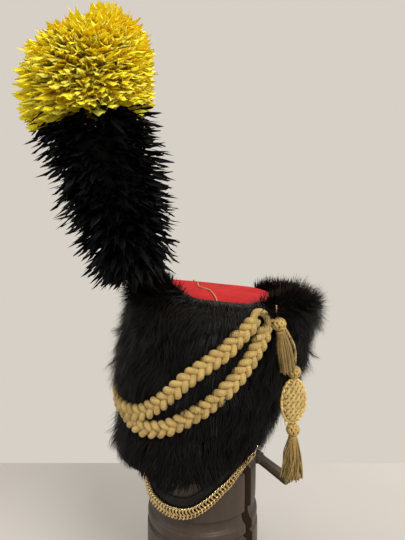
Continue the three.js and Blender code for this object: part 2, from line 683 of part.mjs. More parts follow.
// 0 at the chain's ends and 1 at its middle
function chainSwell(share) {
  return Math.sin(Math.PI * share) ** CHAIN_SWELL_POWER;
}

function chainStation(share) {
  const middle = chainCurve.getPointAt(share);
  const along = chainCurve.getTangentAt(share);
  const out = middle.clone().setZ(0).normalize();
  out.addScaledVector(along, -out.dot(along)).normalize();
  return { middle, along, out, across: along.clone().cross(out) };
}

function chinStrap() {
  const behind = CHAIN_WIRE * 1.5 + 2.5 * CLEARANCE + STRAP_THICKNESS / 2;
  return sweep(Array.from({ length: STRAP_PIECES + 1 }, (_, i) => {
    const share = i / STRAP_PIECES;
    const { middle, out, across } = chainStation(share);
    const width = STRAP_WIDTH * THREE.MathUtils.lerp(STRAP_END_SHARE, 1, chainSwell(share));
    const above = across.z > 0 ? 1 : -1;
    middle.addScaledVector(across, above * CHAIN_BELOW_STRAP * chainSwell(share));
    return {
      middle: middle.addScaledVector(out, -behind),
      across,
      out,
      halfWidth: width / 2,
      halfThickness: STRAP_THICKNESS / 2,
    };
  }), 8, STRAP_SQUARENESS);
}

// A link as a slanting plate, lapped by the next
function chainLink(share) {
  const { middle, along, out, across } = chainStation(share);
  const width = CHAIN_WIDTH * THREE.MathUtils.lerp(CHAIN_END_SHARE, 1, chainSwell(share));
  const plate = new THREE.CylinderGeometry(1, 1, 1, 4);
  plate.rotateX(Math.PI / 2);
  plate.scale(CHAIN_PITCH * CHAIN_LINK_HALF, width / 2, 2 * CHAIN_WIRE);
  plate.rotateY(radians(CHAIN_LAP));
  plate.rotateZ(radians(CHAIN_SLANT));
  const frame = new THREE.Matrix4().makeBasis(along, across, out).setPosition(middle);
  return manifoldOf(plate).transform(frame.elements);
}

function chinChain() {
  const count = Math.round(chainCurve.getLength() / CHAIN_PITCH);
  const links = Array.from({ length: count }, (_, i) => chainLink((i + 0.5) / count));
  const ends = CHAIN_SOLIDS.map((_, k) => Math.round(((k + 1) * count) / CHAIN_SOLIDS.length));
  return ends.map((end, k) => {
    const whole = links.slice(k ? ends[k - 1] : 0, end).reduce((chain, link) => chain.add(link));
    return k ? whole.subtract(apart(links[ends[k - 1] - 1])) : whole;
  });
}

// The object

const colours = {
  wood: { color: 0x463e37, roughness: 0.45, metalness: 0 },
  fur: { color: 0x0d0c0c, roughness: 0.95, metalness: 0 },
  cloth: { color: 0xb8262c, roughness: 0.95, metalness: 0 },
  piping: { color: 0xc98a3a, roughness: 0.8, metalness: 0 },
  blackFeather: { color: 0x0b0b0d, roughness: 0.7, metalness: 0 },
  yellowFeather: { color: 0xf6d52c, roughness: 0.8, metalness: 0 },
  gimp: { color: 0xc2a46a, roughness: 0.75, metalness: 0 },
  leather: { color: 0x15120f, roughness: 0.55, metalness: 0 },
  brass: { color: 0xc9a24a, roughness: 0.3, metalness: 1 },
};

const hat = new THREE.Group();

function show(name, solid, look) {
  const mesh = new THREE.Mesh(geometryOf(solid), new THREE.MeshStandardMaterial(colours[look]));
  mesh.name = name;
  hat.add(mesh);
}

const fur = furForm(CLEARANCE);
show('stand_column', standColumn(), 'wood');
show('stand_handle', standHandle(), 'wood');
show('fur_crown', furCrown(), 'fur');
show('bag', bag(), 'cloth');
show('bag_piping', bagPiping(), 'piping');
show('plume_stem', plumeStem(0), 'brass');
show('plume_lower', plume(LOWER_PLUME, -CLEARANCE / 2), 'blackFeather');
show('plume_upper', plume(UPPER_PLUME, CLEARANCE / 2), 'yellowFeather');
const loop = capLineLoop(CLEARANCE);
const upperLine = capLine(UPPER_LINE, 0).subtract(fur).subtract(capLine(LOWER_LINE, CLEARANCE));
show('cap_line_upper', upperLine.subtract(loop), 'gimp');
show('cap_line_lower', capLine(LOWER_LINE, 0).subtract(fur).subtract(loop), 'gimp');
show('cap_line_loop', capLineLoop(0), 'gimp');
show('cap_line_hook_left', lineHook(HOOK_AT), 'brass');
show('cap_line_hook_right', lineHook(FAR_HOOK_AT), 'brass');
for (const [name, solid] of tassel(loop)) show(name, solid.subtract(fur), 'gimp');
show('chin_strap', chinStrap().subtract(fur), 'leather');
show('ear_hook_left', earHook(1), 'brass');
show('ear_hook_right', earHook(-1), 'brass');
chinChain().forEach((solid, k) => show(CHAIN_SOLIDS[k], solid, 'brass'));

export default hat;
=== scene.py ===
"""A fur busby with a cloth bag, a plume, plaited cap lines and a chained chin strap, on a turned stand."""
import itertools
import math

import bpy
import numpy as np
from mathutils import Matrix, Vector


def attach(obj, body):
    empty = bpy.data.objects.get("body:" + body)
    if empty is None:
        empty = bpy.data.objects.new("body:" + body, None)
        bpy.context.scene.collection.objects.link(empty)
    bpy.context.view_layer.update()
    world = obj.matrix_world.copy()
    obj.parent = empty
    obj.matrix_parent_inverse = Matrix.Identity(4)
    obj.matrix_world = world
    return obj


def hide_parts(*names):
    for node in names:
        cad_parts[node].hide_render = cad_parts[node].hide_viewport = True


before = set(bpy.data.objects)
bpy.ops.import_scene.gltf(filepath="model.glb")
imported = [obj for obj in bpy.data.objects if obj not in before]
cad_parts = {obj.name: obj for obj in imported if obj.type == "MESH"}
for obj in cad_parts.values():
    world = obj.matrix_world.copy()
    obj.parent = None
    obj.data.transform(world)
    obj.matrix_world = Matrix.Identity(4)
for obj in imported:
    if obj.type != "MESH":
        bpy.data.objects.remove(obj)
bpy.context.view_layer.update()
rng = np.random.default_rng(11)
MM = 0.001
UP = np.array([0.0, 0.0, 1.0])

# The part's own values, in millimetres and degrees, as its solids have them

BARREL_RADIUS = 77
BARREL_TOP = 178
POST_RADIUS = 58
POST_FOOT = 200
SLOT_WIDTH = 16
SLOT_DEPTH = 40
SLOT_BOTTOM = 36
SLOT_TURN = 13
HANDLE_RADIUS = 8
HANDLE_LENGTH = 66
HANDLE_TURN = 30
HANDLE_DROP = 31
HANDLE_HEIGHT = 176
HANDLE_ROOT_TURN = 58
RIM_HEIGHT = 205
RIM_FORWARD = 20
CROWN_HEIGHT = 212
CROWN_HALF_LENGTH = 142
CROWN_NARROWING = 0.84
CROWN_TOP_TILT = 8
TOP_DIP = 14
GAP = 0.35
BAG_THICKNESS = 2
BAG_ANGLE = -112
BAG_HALF_SPREAD = 38
BAG_DROP = 0.62
BAG_PUFF = 8
PLUME_HEIGHT = 310
PLUME_RADIUS = 77
PLUME_REACH = 31
PLUME_LEAN = 55
PLUME_LEAN_END = 0.8
PLUME_SEAT_GIRTH = 0.94
PLUME_STEM_SHOW = 7
PLAIT_THICKNESS = 11
LINE_RADIUS = 4.5
KNOT_RADIUS = 9
KNOT_FLATNESS = 0.9
HOOK_RADIUS = 1.1
EAR_HOOK_REACH = 6
FLOUNDER_LENGTH = 60
FLOUNDER_WIDTH = 37
FLOUNDER_FACING = 66
FLOUNDER_THICKNESS = 13
LOWER_FRINGE_LENGTH = 58
FRINGE_RADIUS = 11
FRINGE_FLARE = 0.22
STRAP_WIDTH = 29
STRAP_THICKNESS = 2.5
STRAP_END_SHARE = 0.42
CHAIN_WIDTH = 19
CHAIN_END_SHARE = 0.38
CHAIN_PITCH = 4.9
CHAIN_WIRE = 1.5
CHAIN_BELOW_STRAP = 5

# The detailed pieces' own values, in millimetres, degrees and counts. Hair past BACK_LIMIT is drawn in.

STAND_WIDEST = 1.125
STAND_STEPS = 108
SHELL_DEPTH = 5
HAIRS = 57000
RING_HAIRS = 9000
LOCKS = 2600
HAIR_STEPS = 5
HAIR_ROOT_DEPTH = 6.0
HAIR_UNDER_CORD = 3.0
BACK_LIMIT = 196
BAG_LIFT = 3 * GAP
BAG_COLUMNS = 29
SEAM_LIFT = 1.3
GOLDEN_ANGLE = 2.399963
BLACK_FEATHERS = 1900
PETALS = 1750
EDGE_FEATHERS = 1300
PLAIT_PITCH = 34.5
PLAIT_HALF_WIDTH = 6.5
PLAIT_DEPTH = 2.9
STRAND_RADIUS = 4.1
STRAND_SIDES = 12
KNOT_LEADS = 5
KNOT_BIGHTS = 8
KNOT_CORD = 1.35
WEAVE_PITCH = 5.6
WEAVE_CORDS = 8
LINK_REACH = 0.93
LINK_SLANT = 34
LINK_HALF_WIDTH = 0.87
STRAP_STEPS = 130
CAMERA_HEADING = 50
CAMERA_DIP = 5
CAMERA_REACH = 610
CAMERA_HEIGHT = 500
FOCAL_PIXELS = 437
PHOTO_HEIGHT = 540

STAND_OUTLINE = [
    (1.09, 0), (1.12, .02), (1.12, .145), (1.09, .168), (.96, .19), (1.02, .213), (1.04, .245),
    (1.04, .47), (1.02, .495), (.98, .51), (1.02, .534), (1.03, .567), (1.02, .6), (.975, .618),
    (.945, .65), (.945, .685), (.985, .702), (1, .72), (1, .975), (.975, 1),
]
# Height, shift to the back and half length of the fur's form, of the well in its top and of its hollow
FUR = np.array([
    (0, 0, .735), (.05, .015, .765), (.14, .05, .79), (.26, .1, .83), (.37, .14, .9),
    (.5, .172, .965), (.7, .24, .985), (.87, .3, 1), (.96, .32, .985), (1, .325, .93),
])
WELL = np.array([(.99, .325, .85), (.925, .32, .8)])
HOLLOW = np.array([(0, 0, .665), (.14, .05, .67), (.3, .115, .69), (.5, .175, .74), (.895, .31, .765)])
# Height, radius and shift to the back of the plume's two colours
LOWER_PLUME = np.array([
    (0, .44, 0), (.06, .59, 0), (.16, .675, 0), (.29, .75, 0), (.4, .8, 0), (.5, .83, 0), (.59, .86, 0),
])
UPPER_PLUME = np.array([
    (.59, .905, 0), (.67, .935, 0), (.76, .96, 0), (.83, .93, .05), (.875, .82, .14), (.935, .57, .28),
    (1, .27, .42),
])
# Angle, height and lift of the cap lines' routes, from their ends under the loop
UPPER_LINE = [
    (67, .866, 0), (66, .845, 0), (61, .775, 0), (55.5, .69, 0), (49.5, .637, 0), (42, .565, 0),
    (35, .492, 0), (28, .428, 0), (20, .368, 0), (12, .333, .05), (3, .32, .15), (-8, .325, .15),
    (-20, .345, 0), (-34, .395, -.15), (-44, .47, -.15), (-53, .6, -.1), (-60, .73, 0), (-64, .82, 0),
]
LOWER_LINE = [
    (74.6, .832, 0), (73.5, .795, 0), (71.5, .705, 0), (69, .64, 0), (66, .575, 0), (62, .515, 0),
    (57, .455, 0), (50.5, .395, 0), (43, .342, 0), (34, .288, 0), (24, .256, 0), (14, .25, 0), (5, .268, 0),
    (-6, .285, -.25), (-18, .285, -.6), (-32, .315, -.7), (-45, .385, -.7), (-56, .5, -.6),
    (-63.5, .64, -.4), (-68, .75, -.1),
]
LOOP_ROUTE = [(65.5, .865), (66.5, .9), (69.5, .91), (72.5, .885), (74.5, .84)]
HOOK_AT = (77, .915)
FAR_HOOK_AT = (-65, .875)
UPPER_KNOT_AT = (79.5, .85)
UPPER_FRINGE_END_AT = (94, .58)
MIDDLE_KNOT_AT = (102, .56)
EAR_HOOK_AT = (102, .1)
# Angle, radius and height of the chain's middle
CHAIN_ROUTE = [
    (92, 97.5, 215), (88.5, 95.5, 210), (85, 93, 204), (82, 90, 197), (79, 87, 189.5), (73, 85, 179),
    (67, 84, 172), (56, 83.5, 158), (43, 83.5, 145), (30, 83.5, 139), (14, 83.5, 138.5),
    (-2, 83.5, 142.5), (-12, 83.5, 150), (-20, 83.5, 161), (-29, 83.5, 174), (-42, 84, 185),
    (-58, 85, 193), (-70, 88.5, 196), (-79, 92.5, 200), (-85, 95.5, 205), (-89, 98, 210), (-92, 100, 215),
]


# Numbers

def unit(v):
    return v / np.maximum(np.linalg.norm(v, axis=-1, keepdims=True), 1e-9)


def smooth(low, high, x):
    t = np.clip((np.asarray(x, float) - low) / (high - low), 0, 1)
    return t * t * (3 - 2 * t)


def spline(rows, count):
    """Points at even steps of a smooth curve through rows."""
    rows = np.asarray(rows, float)
    ends = np.vstack([2 * rows[0] - rows[1], rows, 2 * rows[-1] - rows[-2]])
    t = np.linspace(0, len(rows) - 1, count)
    i = np.minimum(t.astype(int), len(rows) - 2)
    u = (t - i)[:, None]
    a, b, c, d = ends[i], ends[i + 1], ends[i + 2], ends[i + 3]
    return 0.5 * (2 * b + (c - a) * u + (2 * a - 5 * b + 4 * c - d) * u**2 + (3 * b - a - 3 * c + d) * u**3)


def walked(points):
    """How far along their way the points lie."""
    return np.concatenate([[0], np.cumsum(np.linalg.norm(np.diff(points, axis=0), axis=1))])


def even(points, count, *others):
    """The same way in steps of equal length, with what goes along it, and its length."""
    before = walked(points)
    at = np.linspace(0, before[-1], count)
    again = [np.stack([np.interp(at, before, part[:, k]) for k in range(part.shape[1])], 1)
             for part in (points, *others)]
    return again, before[-1]


def tangents(points):
    return unit(np.gradient(points, axis=0))


def frames(points):
    """Tangents, and two directions across them that turn as little as they can."""
    along = tangents(points)
    side = np.zeros_like(points)
    first = np.array([.31, .2, .93])
    side[0] = unit(first - along[0] * (first @ along[0]))
    for i in range(1, len(points)):
        side[i] = unit(side[i - 1] - along[i] * (side[i - 1] @ along[i]))
    return along, side, np.cross(along, side)


def spin(a, b, turn):
    """What lies at this turn from a towards b."""
    return a * np.cos(turn)[..., None] + b * np.sin(turn)[..., None]


def net(rows, columns, closed=False, around=False):
    """The row, the column and the point of each corner of a net of four-sided faces."""
    i, k = np.meshgrid(np.arange(rows - (not closed)), np.arange(columns - (not around)), indexing="ij")
    i, k = i.reshape(-1, 1) + (0, 0, 1, 1), k.reshape(-1, 1) + (0, 1, 1, 0)
    return i, k, i % rows * columns + k % columns


def ripple(angle, height, seed):
    """Smooth noise over the crown, from -1 to 1."""
    a = np.radians(angle)
    total = np.zeros(np.broadcast(a, height).shape)
    draw = np.random.default_rng(seed)
    for _ in range(9):
        round_, up, phase = draw.integers(2, 13), draw.uniform(4, 34), draw.uniform(0, 6.28)
        total = total + np.sin(round_ * a + up * height + phase)
    return total / 4.5


# The crown

def top_dip(height, angle):
    """How far the crown's top edge sinks over the wearer's left temple."""
    return TOP_DIP * smooth(.88, 1, height) * smooth(12, 34, angle) * smooth(94, 70, angle)


def crown(height, angle, table=FUR, share=1.0, grow=0.0, girth=None):
    """Points of one of the hat's forms: height as a share of the crown's, angle from the front to the left."""
    height, angle = np.broadcast_arrays(np.asarray(height, float), np.asarray(angle, float))
    order = np.argsort(table[:, 0])
    shift = np.interp(height, table[order, 0], table[order, 1])
    wide = np.interp(height, table[order, 0], table[order, 2]) if girth is None else girth
    half = CROWN_HALF_LENGTH * wide * share
    tilt = math.radians(CROWN_TOP_TILT) * height
    angle = (angle + 180) % 360 - 180
    along = -(half + grow) * np.cos(np.radians(angle))
    return np.stack([
        (half * CROWN_NARROWING + grow) * np.sin(np.radians(angle)),
        shift * CROWN_HEIGHT - RIM_FORWARD + along * np.cos(tilt),
        RIM_HEIGHT + height * CROWN_HEIGHT - along * np.sin(tilt) - top_dip(height, angle) * (wide * share) ** 2,
    ], -1)


def crown_axes(height, angle):
    """Across the surface towards the wearer's left, up the surface, and out of it."""
    round_ = unit(crown(height, angle + 1) - crown(height, angle - 1))
    up = unit(crown(np.minimum(1, height + .02), angle) - crown(np.maximum(0, height - .02), angle))
    return round_, up, unit(np.cross(round_, up))


def off_fur(at, distance):
    """The point this far out from the fur, at an angle and a height."""
    return crown(at[1], at[0]) + crown_axes(at[1], at[0])[2] * distance


def top_normal(height):
    """The way up from the section at this height."""
    tilt = math.radians(CROWN_TOP_TILT) * height
    return np.array([0, math.sin(tilt), math.cos(tilt)])


# Building meshes

def thing(name, data):
    """A new object in the scene."""
    made = bpy.data.objects.new(name, data)
    bpy.context.scene.collection.objects.link(made)
    return made


def box(name, low, high, turn):
    """A box between two corners, turned round the stand's axis."""
    corners = np.array(list(itertools.product(*zip(low, high))))
    c, s = math.cos(turn), math.sin(turn)
    mesh = bpy.data.meshes.new(name)
    mesh.from_pydata((corners @ [[c, s, 0], [-s, c, 0], [0, 0, 1]] * MM).tolist(), [], [
        (0, 1, 3, 2), (4, 6, 7, 5), (0, 4, 5, 1), (2, 3, 7, 6), (0, 2, 6, 4), (1, 5, 7, 3)])
    return thing(name, mesh)


class Form:
    """Points and faces that become one piece. Corners carry a place along and round a tube."""

    def __init__(self):
        self.points, self.blocks, self.tints, self.count = [], [], [], 0

    def add(self, points, faces, corners=None, tint=0.0):
        """Adds points, with faces between them, the places of the faces' corners and the points' tint."""
        points = np.reshape(points, (-1, 3)).astype(float)
        self.blocks.append((faces + self.count, np.zeros((*faces.shape, 2)) if corners is None else corners))
        self.points.append(points)
        self.tints.append(np.broadcast_to(np.ravel(tint).astype(float), len(points)))
        self.count += len(points)
        return self

    def tube(self, points, radius, sides, tint=0.0, flat=None, squeeze=1.0):
        """A round tube; flat gives a direction at each point in which squeeze thins it."""
        count, start = len(points), self.count
        radius = np.broadcast_to(np.asarray(radius, float), count)
        along, a, b = frames(points)
        if flat is not None:
            a = unit(np.cross(along, flat))
            b = np.cross(a, along)
        turn = np.arange(sides) * 2 * np.pi / sides
        body = points[:, None] + spin(a[:, None], b[:, None] * squeeze, turn) * radius[:, None, None]
        i, k, quads = net(count, sides, around=True)
        tints = np.broadcast_to(np.asarray(tint, float), count * sides + 2)
        self.add(body, quads, np.stack([walked(points)[i], k / sides], -1), tints[:-2])
        for end, way in ((0, 1), (-1, -1)):
            middle = points[end] - along[end] * way * radius[end] * .5 * squeeze
            self.fan(start + end % count * sides, sides, middle, end == 0, tints[-2 - end])
        return self

    def twist(self, way, length, pitch, apart, radius, sides):
        """Two strands laid round each other."""
        _, a, b = frames(way)
        for phase in (0, math.pi):
            turn = np.linspace(0, 2 * math.pi * length / pitch, len(way)) + phase
            self.tube(way + spin(a, b, turn) * apart, radius, sides)
        return self

    def loop(self, points, radius, sides, tint=0.0):
        """A closed ring of tube."""
        along = unit(np.roll(points, -1, 0) - np.roll(points, 1, 0))
        out = points - points.mean(0)
        a = unit(out - along * (out * along).sum(1, keepdims=True))
        turn = np.arange(sides) * 2 * np.pi / sides
        body = points[:, None] + spin(a[:, None], np.cross(along, a)[:, None], turn) * radius
        return self.add(body, net(len(points), sides, closed=True, around=True)[2], None, tint)

    def grid(self, points, tint=0.0, around=False):
        """A sheet of points in rows and columns; around joins its last column to its first."""
        i, k, quads = net(*points.shape[:2], around=around)
        return self.add(points, quads, np.stack([i, k], -1) * 1.0, tint)

    def skin(self, rings, tint=0.0, ends=None):
        """A closed body through rings of points, with a fan to a middle point at each end."""
        rows, columns = rings.shape[:2]
        start = self.count
        low, high = (rings[0].mean(0), rings[-1].mean(0)) if ends is None else ends
        self.grid(rings, tint, around=True)
        self.fan(start, columns, low, first=True)
        return self.fan(start + (rows - 1) * columns, columns, high)

    def fan(self, start, columns, middle, first=False, tint=0.0):
        """Closes the ring of points from start, the grid's first or its last, with triangles to a middle."""
        k = np.arange(columns)
        ring = np.stack([k, (k + 1) % columns], 1) + start - self.count
        return self.add(middle, np.hstack([0 * ring[:, :1], ring[:, ::-1] if first else ring]), None, tint)

    def ball(self, middle, axes, rows=10, columns=16, tint=0.0):
        """An ellipsoid with the three half axes given as vectors."""
        lat = np.linspace(-np.pi / 2, np.pi / 2, rows + 1)[1:-1]
        a, b, c = (np.asarray(axis, float) for axis in axes)
        ring = spin(a, b, np.arange(columns) * 2 * np.pi / columns)
        return self.skin(middle + spin(ring[None], c, lat[:, None]), tint, [middle - c, middle + c])

    def make(self, name, look, slot, replaces=(), edit=None):
        """Makes the piece; edit changes it before the frame has it."""
        mesh = bpy.data.meshes.new(name)
        points = np.vstack(self.points) * MM
        loops = np.concatenate([faces.ravel() for faces, _ in self.blocks])
        sizes = np.concatenate([np.full(len(faces), faces.shape[1]) for faces, _ in self.blocks])
        way = np.concatenate([corners.reshape(-1, 2) for _, corners in self.blocks])
        mesh.vertices.add(len(points))
        mesh.vertices.foreach_set("co", points.astype(np.float32).ravel())
        mesh.loops.add(len(loops))
        mesh.loops.foreach_set("vertex_index", loops.astype(np.int32))
        mesh.polygons.add(len(sizes))
        mesh.polygons.foreach_set("loop_start", (np.cumsum(sizes) - sizes).astype(np.int32))
        mesh.polygons.foreach_set("use_smooth", np.ones(len(sizes), bool))
        mesh.update(calc_edges=True)
        mesh.uv_layers.new(name="way").data.foreach_set("uv", way.astype(np.float32).ravel())
        tint = mesh.attributes.new("tint", "FLOAT", "POINT")
        tint.data.foreach_set("value", np.concatenate(self.tints).astype(np.float32))
        mesh.validate()
        mesh.materials.append(look)
        piece = thing(name, mesh)
        if edit:
            edit(piece)
        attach(piece, "root")
        if replaces:
            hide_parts(*replaces)
        return piece


def apply_modifiers(piece):
    """Leaves the piece with the mesh that its modifiers make."""
    bpy.context.view_layer.update()
    seen = piece.evaluated_get(bpy.context.evaluated_depsgraph_get())
    mesh = bpy.data.meshes.new_from_object(seen)
    piece.modifiers.clear()
    piece.data = mesh


# Materials

class Look:
    """A small helper round one material's nodes. Its methods give the sockets that come out of them."""

    def __init__(self, name, colour, roughness, metallic=0.0, **sockets):
        self.material = bpy.data.materials.new(name)
        self.material.use_nodes = True
        self.tree = self.material.node_tree
        self.shader = self.tree.nodes["Principled BSDF"]
        for socket, value in dict(Base_Color=colour, Roughness=roughness, Metallic=metallic, **sockets).items():
            self.feed(self.shader.inputs[socket.replace("_", " ")], value)

    def feed(self, socket, value):
        """Links a socket into this one, or sets its number or colour."""
        if isinstance(value, bpy.types.NodeSocket):
            self.tree.links.new(value, socket)
        else:
            socket.default_value = (*value, 1) if socket.type == "RGBA" else value

    def node(self, kind, inputs=(), **settings):
        node = self.tree.nodes.new(kind)
        for key, value in settings.items():
            setattr(node, key, value)
        for key, value in dict(inputs).items():
            self.feed(node.inputs[key], value)
        return node

    def place(self, stretch=(1, 1, 1)):
        where = self.node("ShaderNodeTexCoord").outputs["Object"]
        return self.node("ShaderNodeMapping", {"Vector": where, "Scale": stretch}).outputs[0]

    def noise(self, scale, detail=4.0, stretch=(1, 1, 1), rough=0.5):
        return self.node("ShaderNodeTexNoise", {
            "Vector": self.place(stretch), "Scale": scale, "Detail": detail, "Roughness": rough}).outputs["Fac"]

    def tint(self):
        return self.node("ShaderNodeAttribute", attribute_name="tint").outputs["Fac"]

    def way(self, along, round_):
        """A number that grows along a tube and round it."""
        uv = self.node("ShaderNodeUVMap", uv_map="way").outputs[0]
        parts = self.node("ShaderNodeSeparateXYZ", {0: uv}).outputs
        return self.math("ADD", self.math("MULTIPLY", parts[0], along), self.math("MULTIPLY", parts[1], round_))

    def math(self, operation, *values):
        return self.node("ShaderNodeMath", enumerate(values), operation=operation).outputs[0]

    def ramp(self, source, *stops):
        """Colours, or shares, between stops of a position and a colour or share."""
        node = self.node("ShaderNodeValToRGB", {0: source})
        elements = node.color_ramp.elements
        while len(elements) < len(stops):
            elements.new(0.5)
        for element, (position, colour) in zip(elements, stops):
            element.position = position
            element.color = (*(colour if isinstance(colour, tuple) else (colour,) * 3), 1)
        return node.outputs[0]

    def mix(self, share, a, b):
        return self.node("ShaderNodeMix", {0: share, 6: a, 7: b}, data_type="RGBA").outputs[2]

    def paint(self, colour, roughness=None):
        self.feed(self.shader.inputs["Base Color"], colour)
        if roughness is not None:
            self.feed(self.shader.inputs["Roughness"], roughness)
        return self

    def bump(self, height, strength, distance):
        """Adds a bump over those that are there."""
        normal = self.shader.inputs["Normal"]
        inputs = {"Strength": strength, "Distance": distance, "Height": height}
        if normal.links:
            inputs["Normal"] = normal.links[0].from_socket
        self.feed(normal, self.node("ShaderNodeBump", inputs).outputs[0])
        return self


def fur_look():
    look = Look("fur", (.006, .0055, .005), .55, Specular_IOR_Level=.09, Sheen_Weight=.03, Sheen_Roughness=.4,
                Sheen_Tint=(.6, .5, .42))
    patches = look.noise(14, 3)
    strand = look.ramp(look.tint(), (0, (.0015, .0015, .0015)), (.55, (.004, .0036, .0034)),
                       (.8, (.013, .0098, .0078)), (1, (.055, .038, .027)))
    colour = look.mix(look.ramp(patches, (.45, 0), (.8, .4)), strand, (.012, .009, .0075))
    return look.paint(colour, look.ramp(look.noise(60, 2), (.3, .42), (.7, .62))).material


def lining_look():
    look = Look("lining", (.03, .022, .017), .9, Specular_IOR_Level=.1)
    look.paint(look.ramp(look.noise(45, 5), (.3, (.006, .005, .0045)), (.7, (.016, .012, .009))))
    return look.bump(look.noise(900, 3), .3, .0002).material


def black_feather_look():
    look = Look("black_feather", (.003, .003, .0035), .5, Specular_IOR_Level=.09)
    barbs = look.math("SINE", look.way(1.0, 40.0))
    # The tint is painted light from feathers(): darker towards the roots and middles, where feathers shade each
    # other, and lighter towards the tips and edges.
    colour = look.ramp(look.tint(), (0, (.001, .001, .0012)), (.7, (.0025, .0025, .003)),
                       (1, (.009, .009, .0105)))
    shade = look.mix(look.ramp(barbs, (.2, 0), (.9, .35)), colour, (.0045, .0045, .0055))
    look.paint(shade, look.ramp(look.noise(40, 2), (.3, .38), (.7, .58)))
    return look.bump(barbs, .4, .0003).material


def yellow_feather_look():
    look = Look("yellow_feather", (.95, .66, .03), .9, Specular_IOR_Level=.02, Sheen_Weight=.06,
                Sheen_Roughness=.6, Sheen_Tint=(1, .85, .3), Subsurface_Weight=.6, Subsurface_Scale=.02,
                Subsurface_Radius=(1, .7, .1))
    barbs = look.math("SINE", look.way(1.4, 44.0))
    # The tint is painted light from feathers(): orange shade towards the roots and middles, where feathers shade each
    # other, and pale lit rims towards the tips and edges.
    colour = look.ramp(look.tint(), (0, (1, .61, .007)), (.35, (1, .75, .015)), (.7, (1, .85, .038)),
                       (1, (1, .92, .15)))
    patch = look.mix(look.ramp(look.noise(26, 3), (.38, 0), (.7, .35)), colour, (1, .76, .020))
    look.paint(look.mix(look.ramp(barbs, (.1, .1), (.8, 0)), patch, (1, .60, .010)))
    return look.bump(barbs, .25, .0003).material


def gimp_look(name, light, dark, pitch=2.6, turns=3):
    """Cord wound with fine thread: slanting lines round it and a little grime between them."""
    look = Look(name, light, .55, Specular_IOR_Level=.45, Sheen_Weight=.3, Sheen_Tint=(1, .9, .65))
    thread = look.math("SINE", look.way(4 * math.pi / pitch, 2 * math.pi * turns))
    fine = look.math("SINE", look.way(2 * math.pi / .55, -2 * math.pi * 9))
    grime = look.noise(120, 5)
    colour = look.mix(look.ramp(look.math("MULTIPLY_ADD", thread, .5, .5), (0, .45), (.75, 0)), light, dark)
    colour = look.mix(look.ramp(grime, (.42, 0), (.75, .55)), colour, dark)
    # The points' tint darkens the cord. Much of it is painted shade: where plait strands go under each other, in the
    # cores of the knots and the flounder, and on the flounder's deeper cords. The rest is a line along each plait
    # strand and random tone per thread or cord.
    colour = look.mix(look.math("MULTIPLY", look.tint(), .5), colour, dark)
    look.paint(colour, look.ramp(grime, (.3, .47), (.7, .7)))
    return look.bump(thread, .55, .0004).bump(fine, .3, .00015).material


def cloth_look():
    light, dark = (.50, .016, .018), (.35, .008, .011)
    look = Look("bag_cloth", light, .92, Specular_IOR_Level=.08, Sheen_Weight=.12, Sheen_Roughness=.45,
                Sheen_Tint=(1, .2, .18))
    colour = look.ramp(look.noise(22, 5), (.32, dark), (.62, light))
    look.paint(look.mix(look.ramp(look.noise(700, 4), (.35, .35), (.6, 0)), colour, dark))
    look.bump(look.noise(1500, 4, rough=.7), .5, .0003)
    return look.bump(look.noise(240, 3), .25, .0005).material


def wood_look():
    look = Look("turned_wood", (.055, .04, .03), .45, Specular_IOR_Level=.24, Coat_Weight=.06, Coat_Roughness=.3)
    grain = look.noise(30, 9, (1, 1, .16), .6)
    pores = look.noise(420, 4, (1, 1, .07), .6)
    colour = look.ramp(grain, (.3, (.035, .025, .018)), (.52, (.052, .037, .027)), (.72, (.070, .051, .038)))
    colour = look.mix(look.ramp(pores, (.32, .4), (.42, 0)), colour, (.024, .017, .012))
    worn = look.math("MULTIPLY", look.tint(), look.ramp(look.noise(55, 5), (.35, 0), (.65, 1)))
    dust = look.ramp(look.noise(12, 4), (.4, .42), (.72, .62))
    look.paint(look.mix(worn, colour, (.15, .11, .08)), dust)
    return look.bump(pores, .22, .0003).bump(grain, .12, .0006).material


def leather_look():
    look = Look("strap_leather", (.008, .007, .0065), .5, Specular_IOR_Level=.22)
    cell = look.node("ShaderNodeTexVoronoi", {"Vector": look.place(), "Scale": 900.0}).outputs["Distance"]
    worn = look.ramp(look.noise(90, 5), (.5, 0), (.8, .8))
    colour = look.mix(look.math("MULTIPLY", look.tint(), worn), (.006, .0055, .005), (.05, .038, .028))
    look.paint(colour, look.ramp(look.noise(60, 3), (.3, .34), (.7, .55)))
    return look.bump(cell, .35, .0002).bump(look.noise(160, 3), .3, .0004).material


def brass_look():
    look = Look("gilt_brass", (.86, .62, .25), .24, 1.0)
    tarnish = look.noise(260, 6, rough=.65)
    colour = look.ramp(tarnish, (.36, (.44, .31, .14)), (.55, (.80, .63, .32)), (.8, (.92, .77, .47)))
    colour = look.mix(look.math("MULTIPLY", look.tint(), .75), colour, (.20, .12, .045))
    look.paint(colour, look.ramp(tarnish, (.3, .42), (.65, .2)))
    return look.bump(look.noise(1400, 3), .12, .0001).material


GIMP = gimp_look("gold_gimp", (.60, .42, .125), (.16, .085, .018))
FLOUNDER_GIMP = gimp_look("flounder_gimp", (.80, .60, .20), (.24, .13, .03), 1.6, 2)
FRINGE_GIMP = gimp_look("fringe_gimp", (.50, .33, .08), (.14, .075, .015), 1.2, 1)
BRASS = brass_look()


# The stand

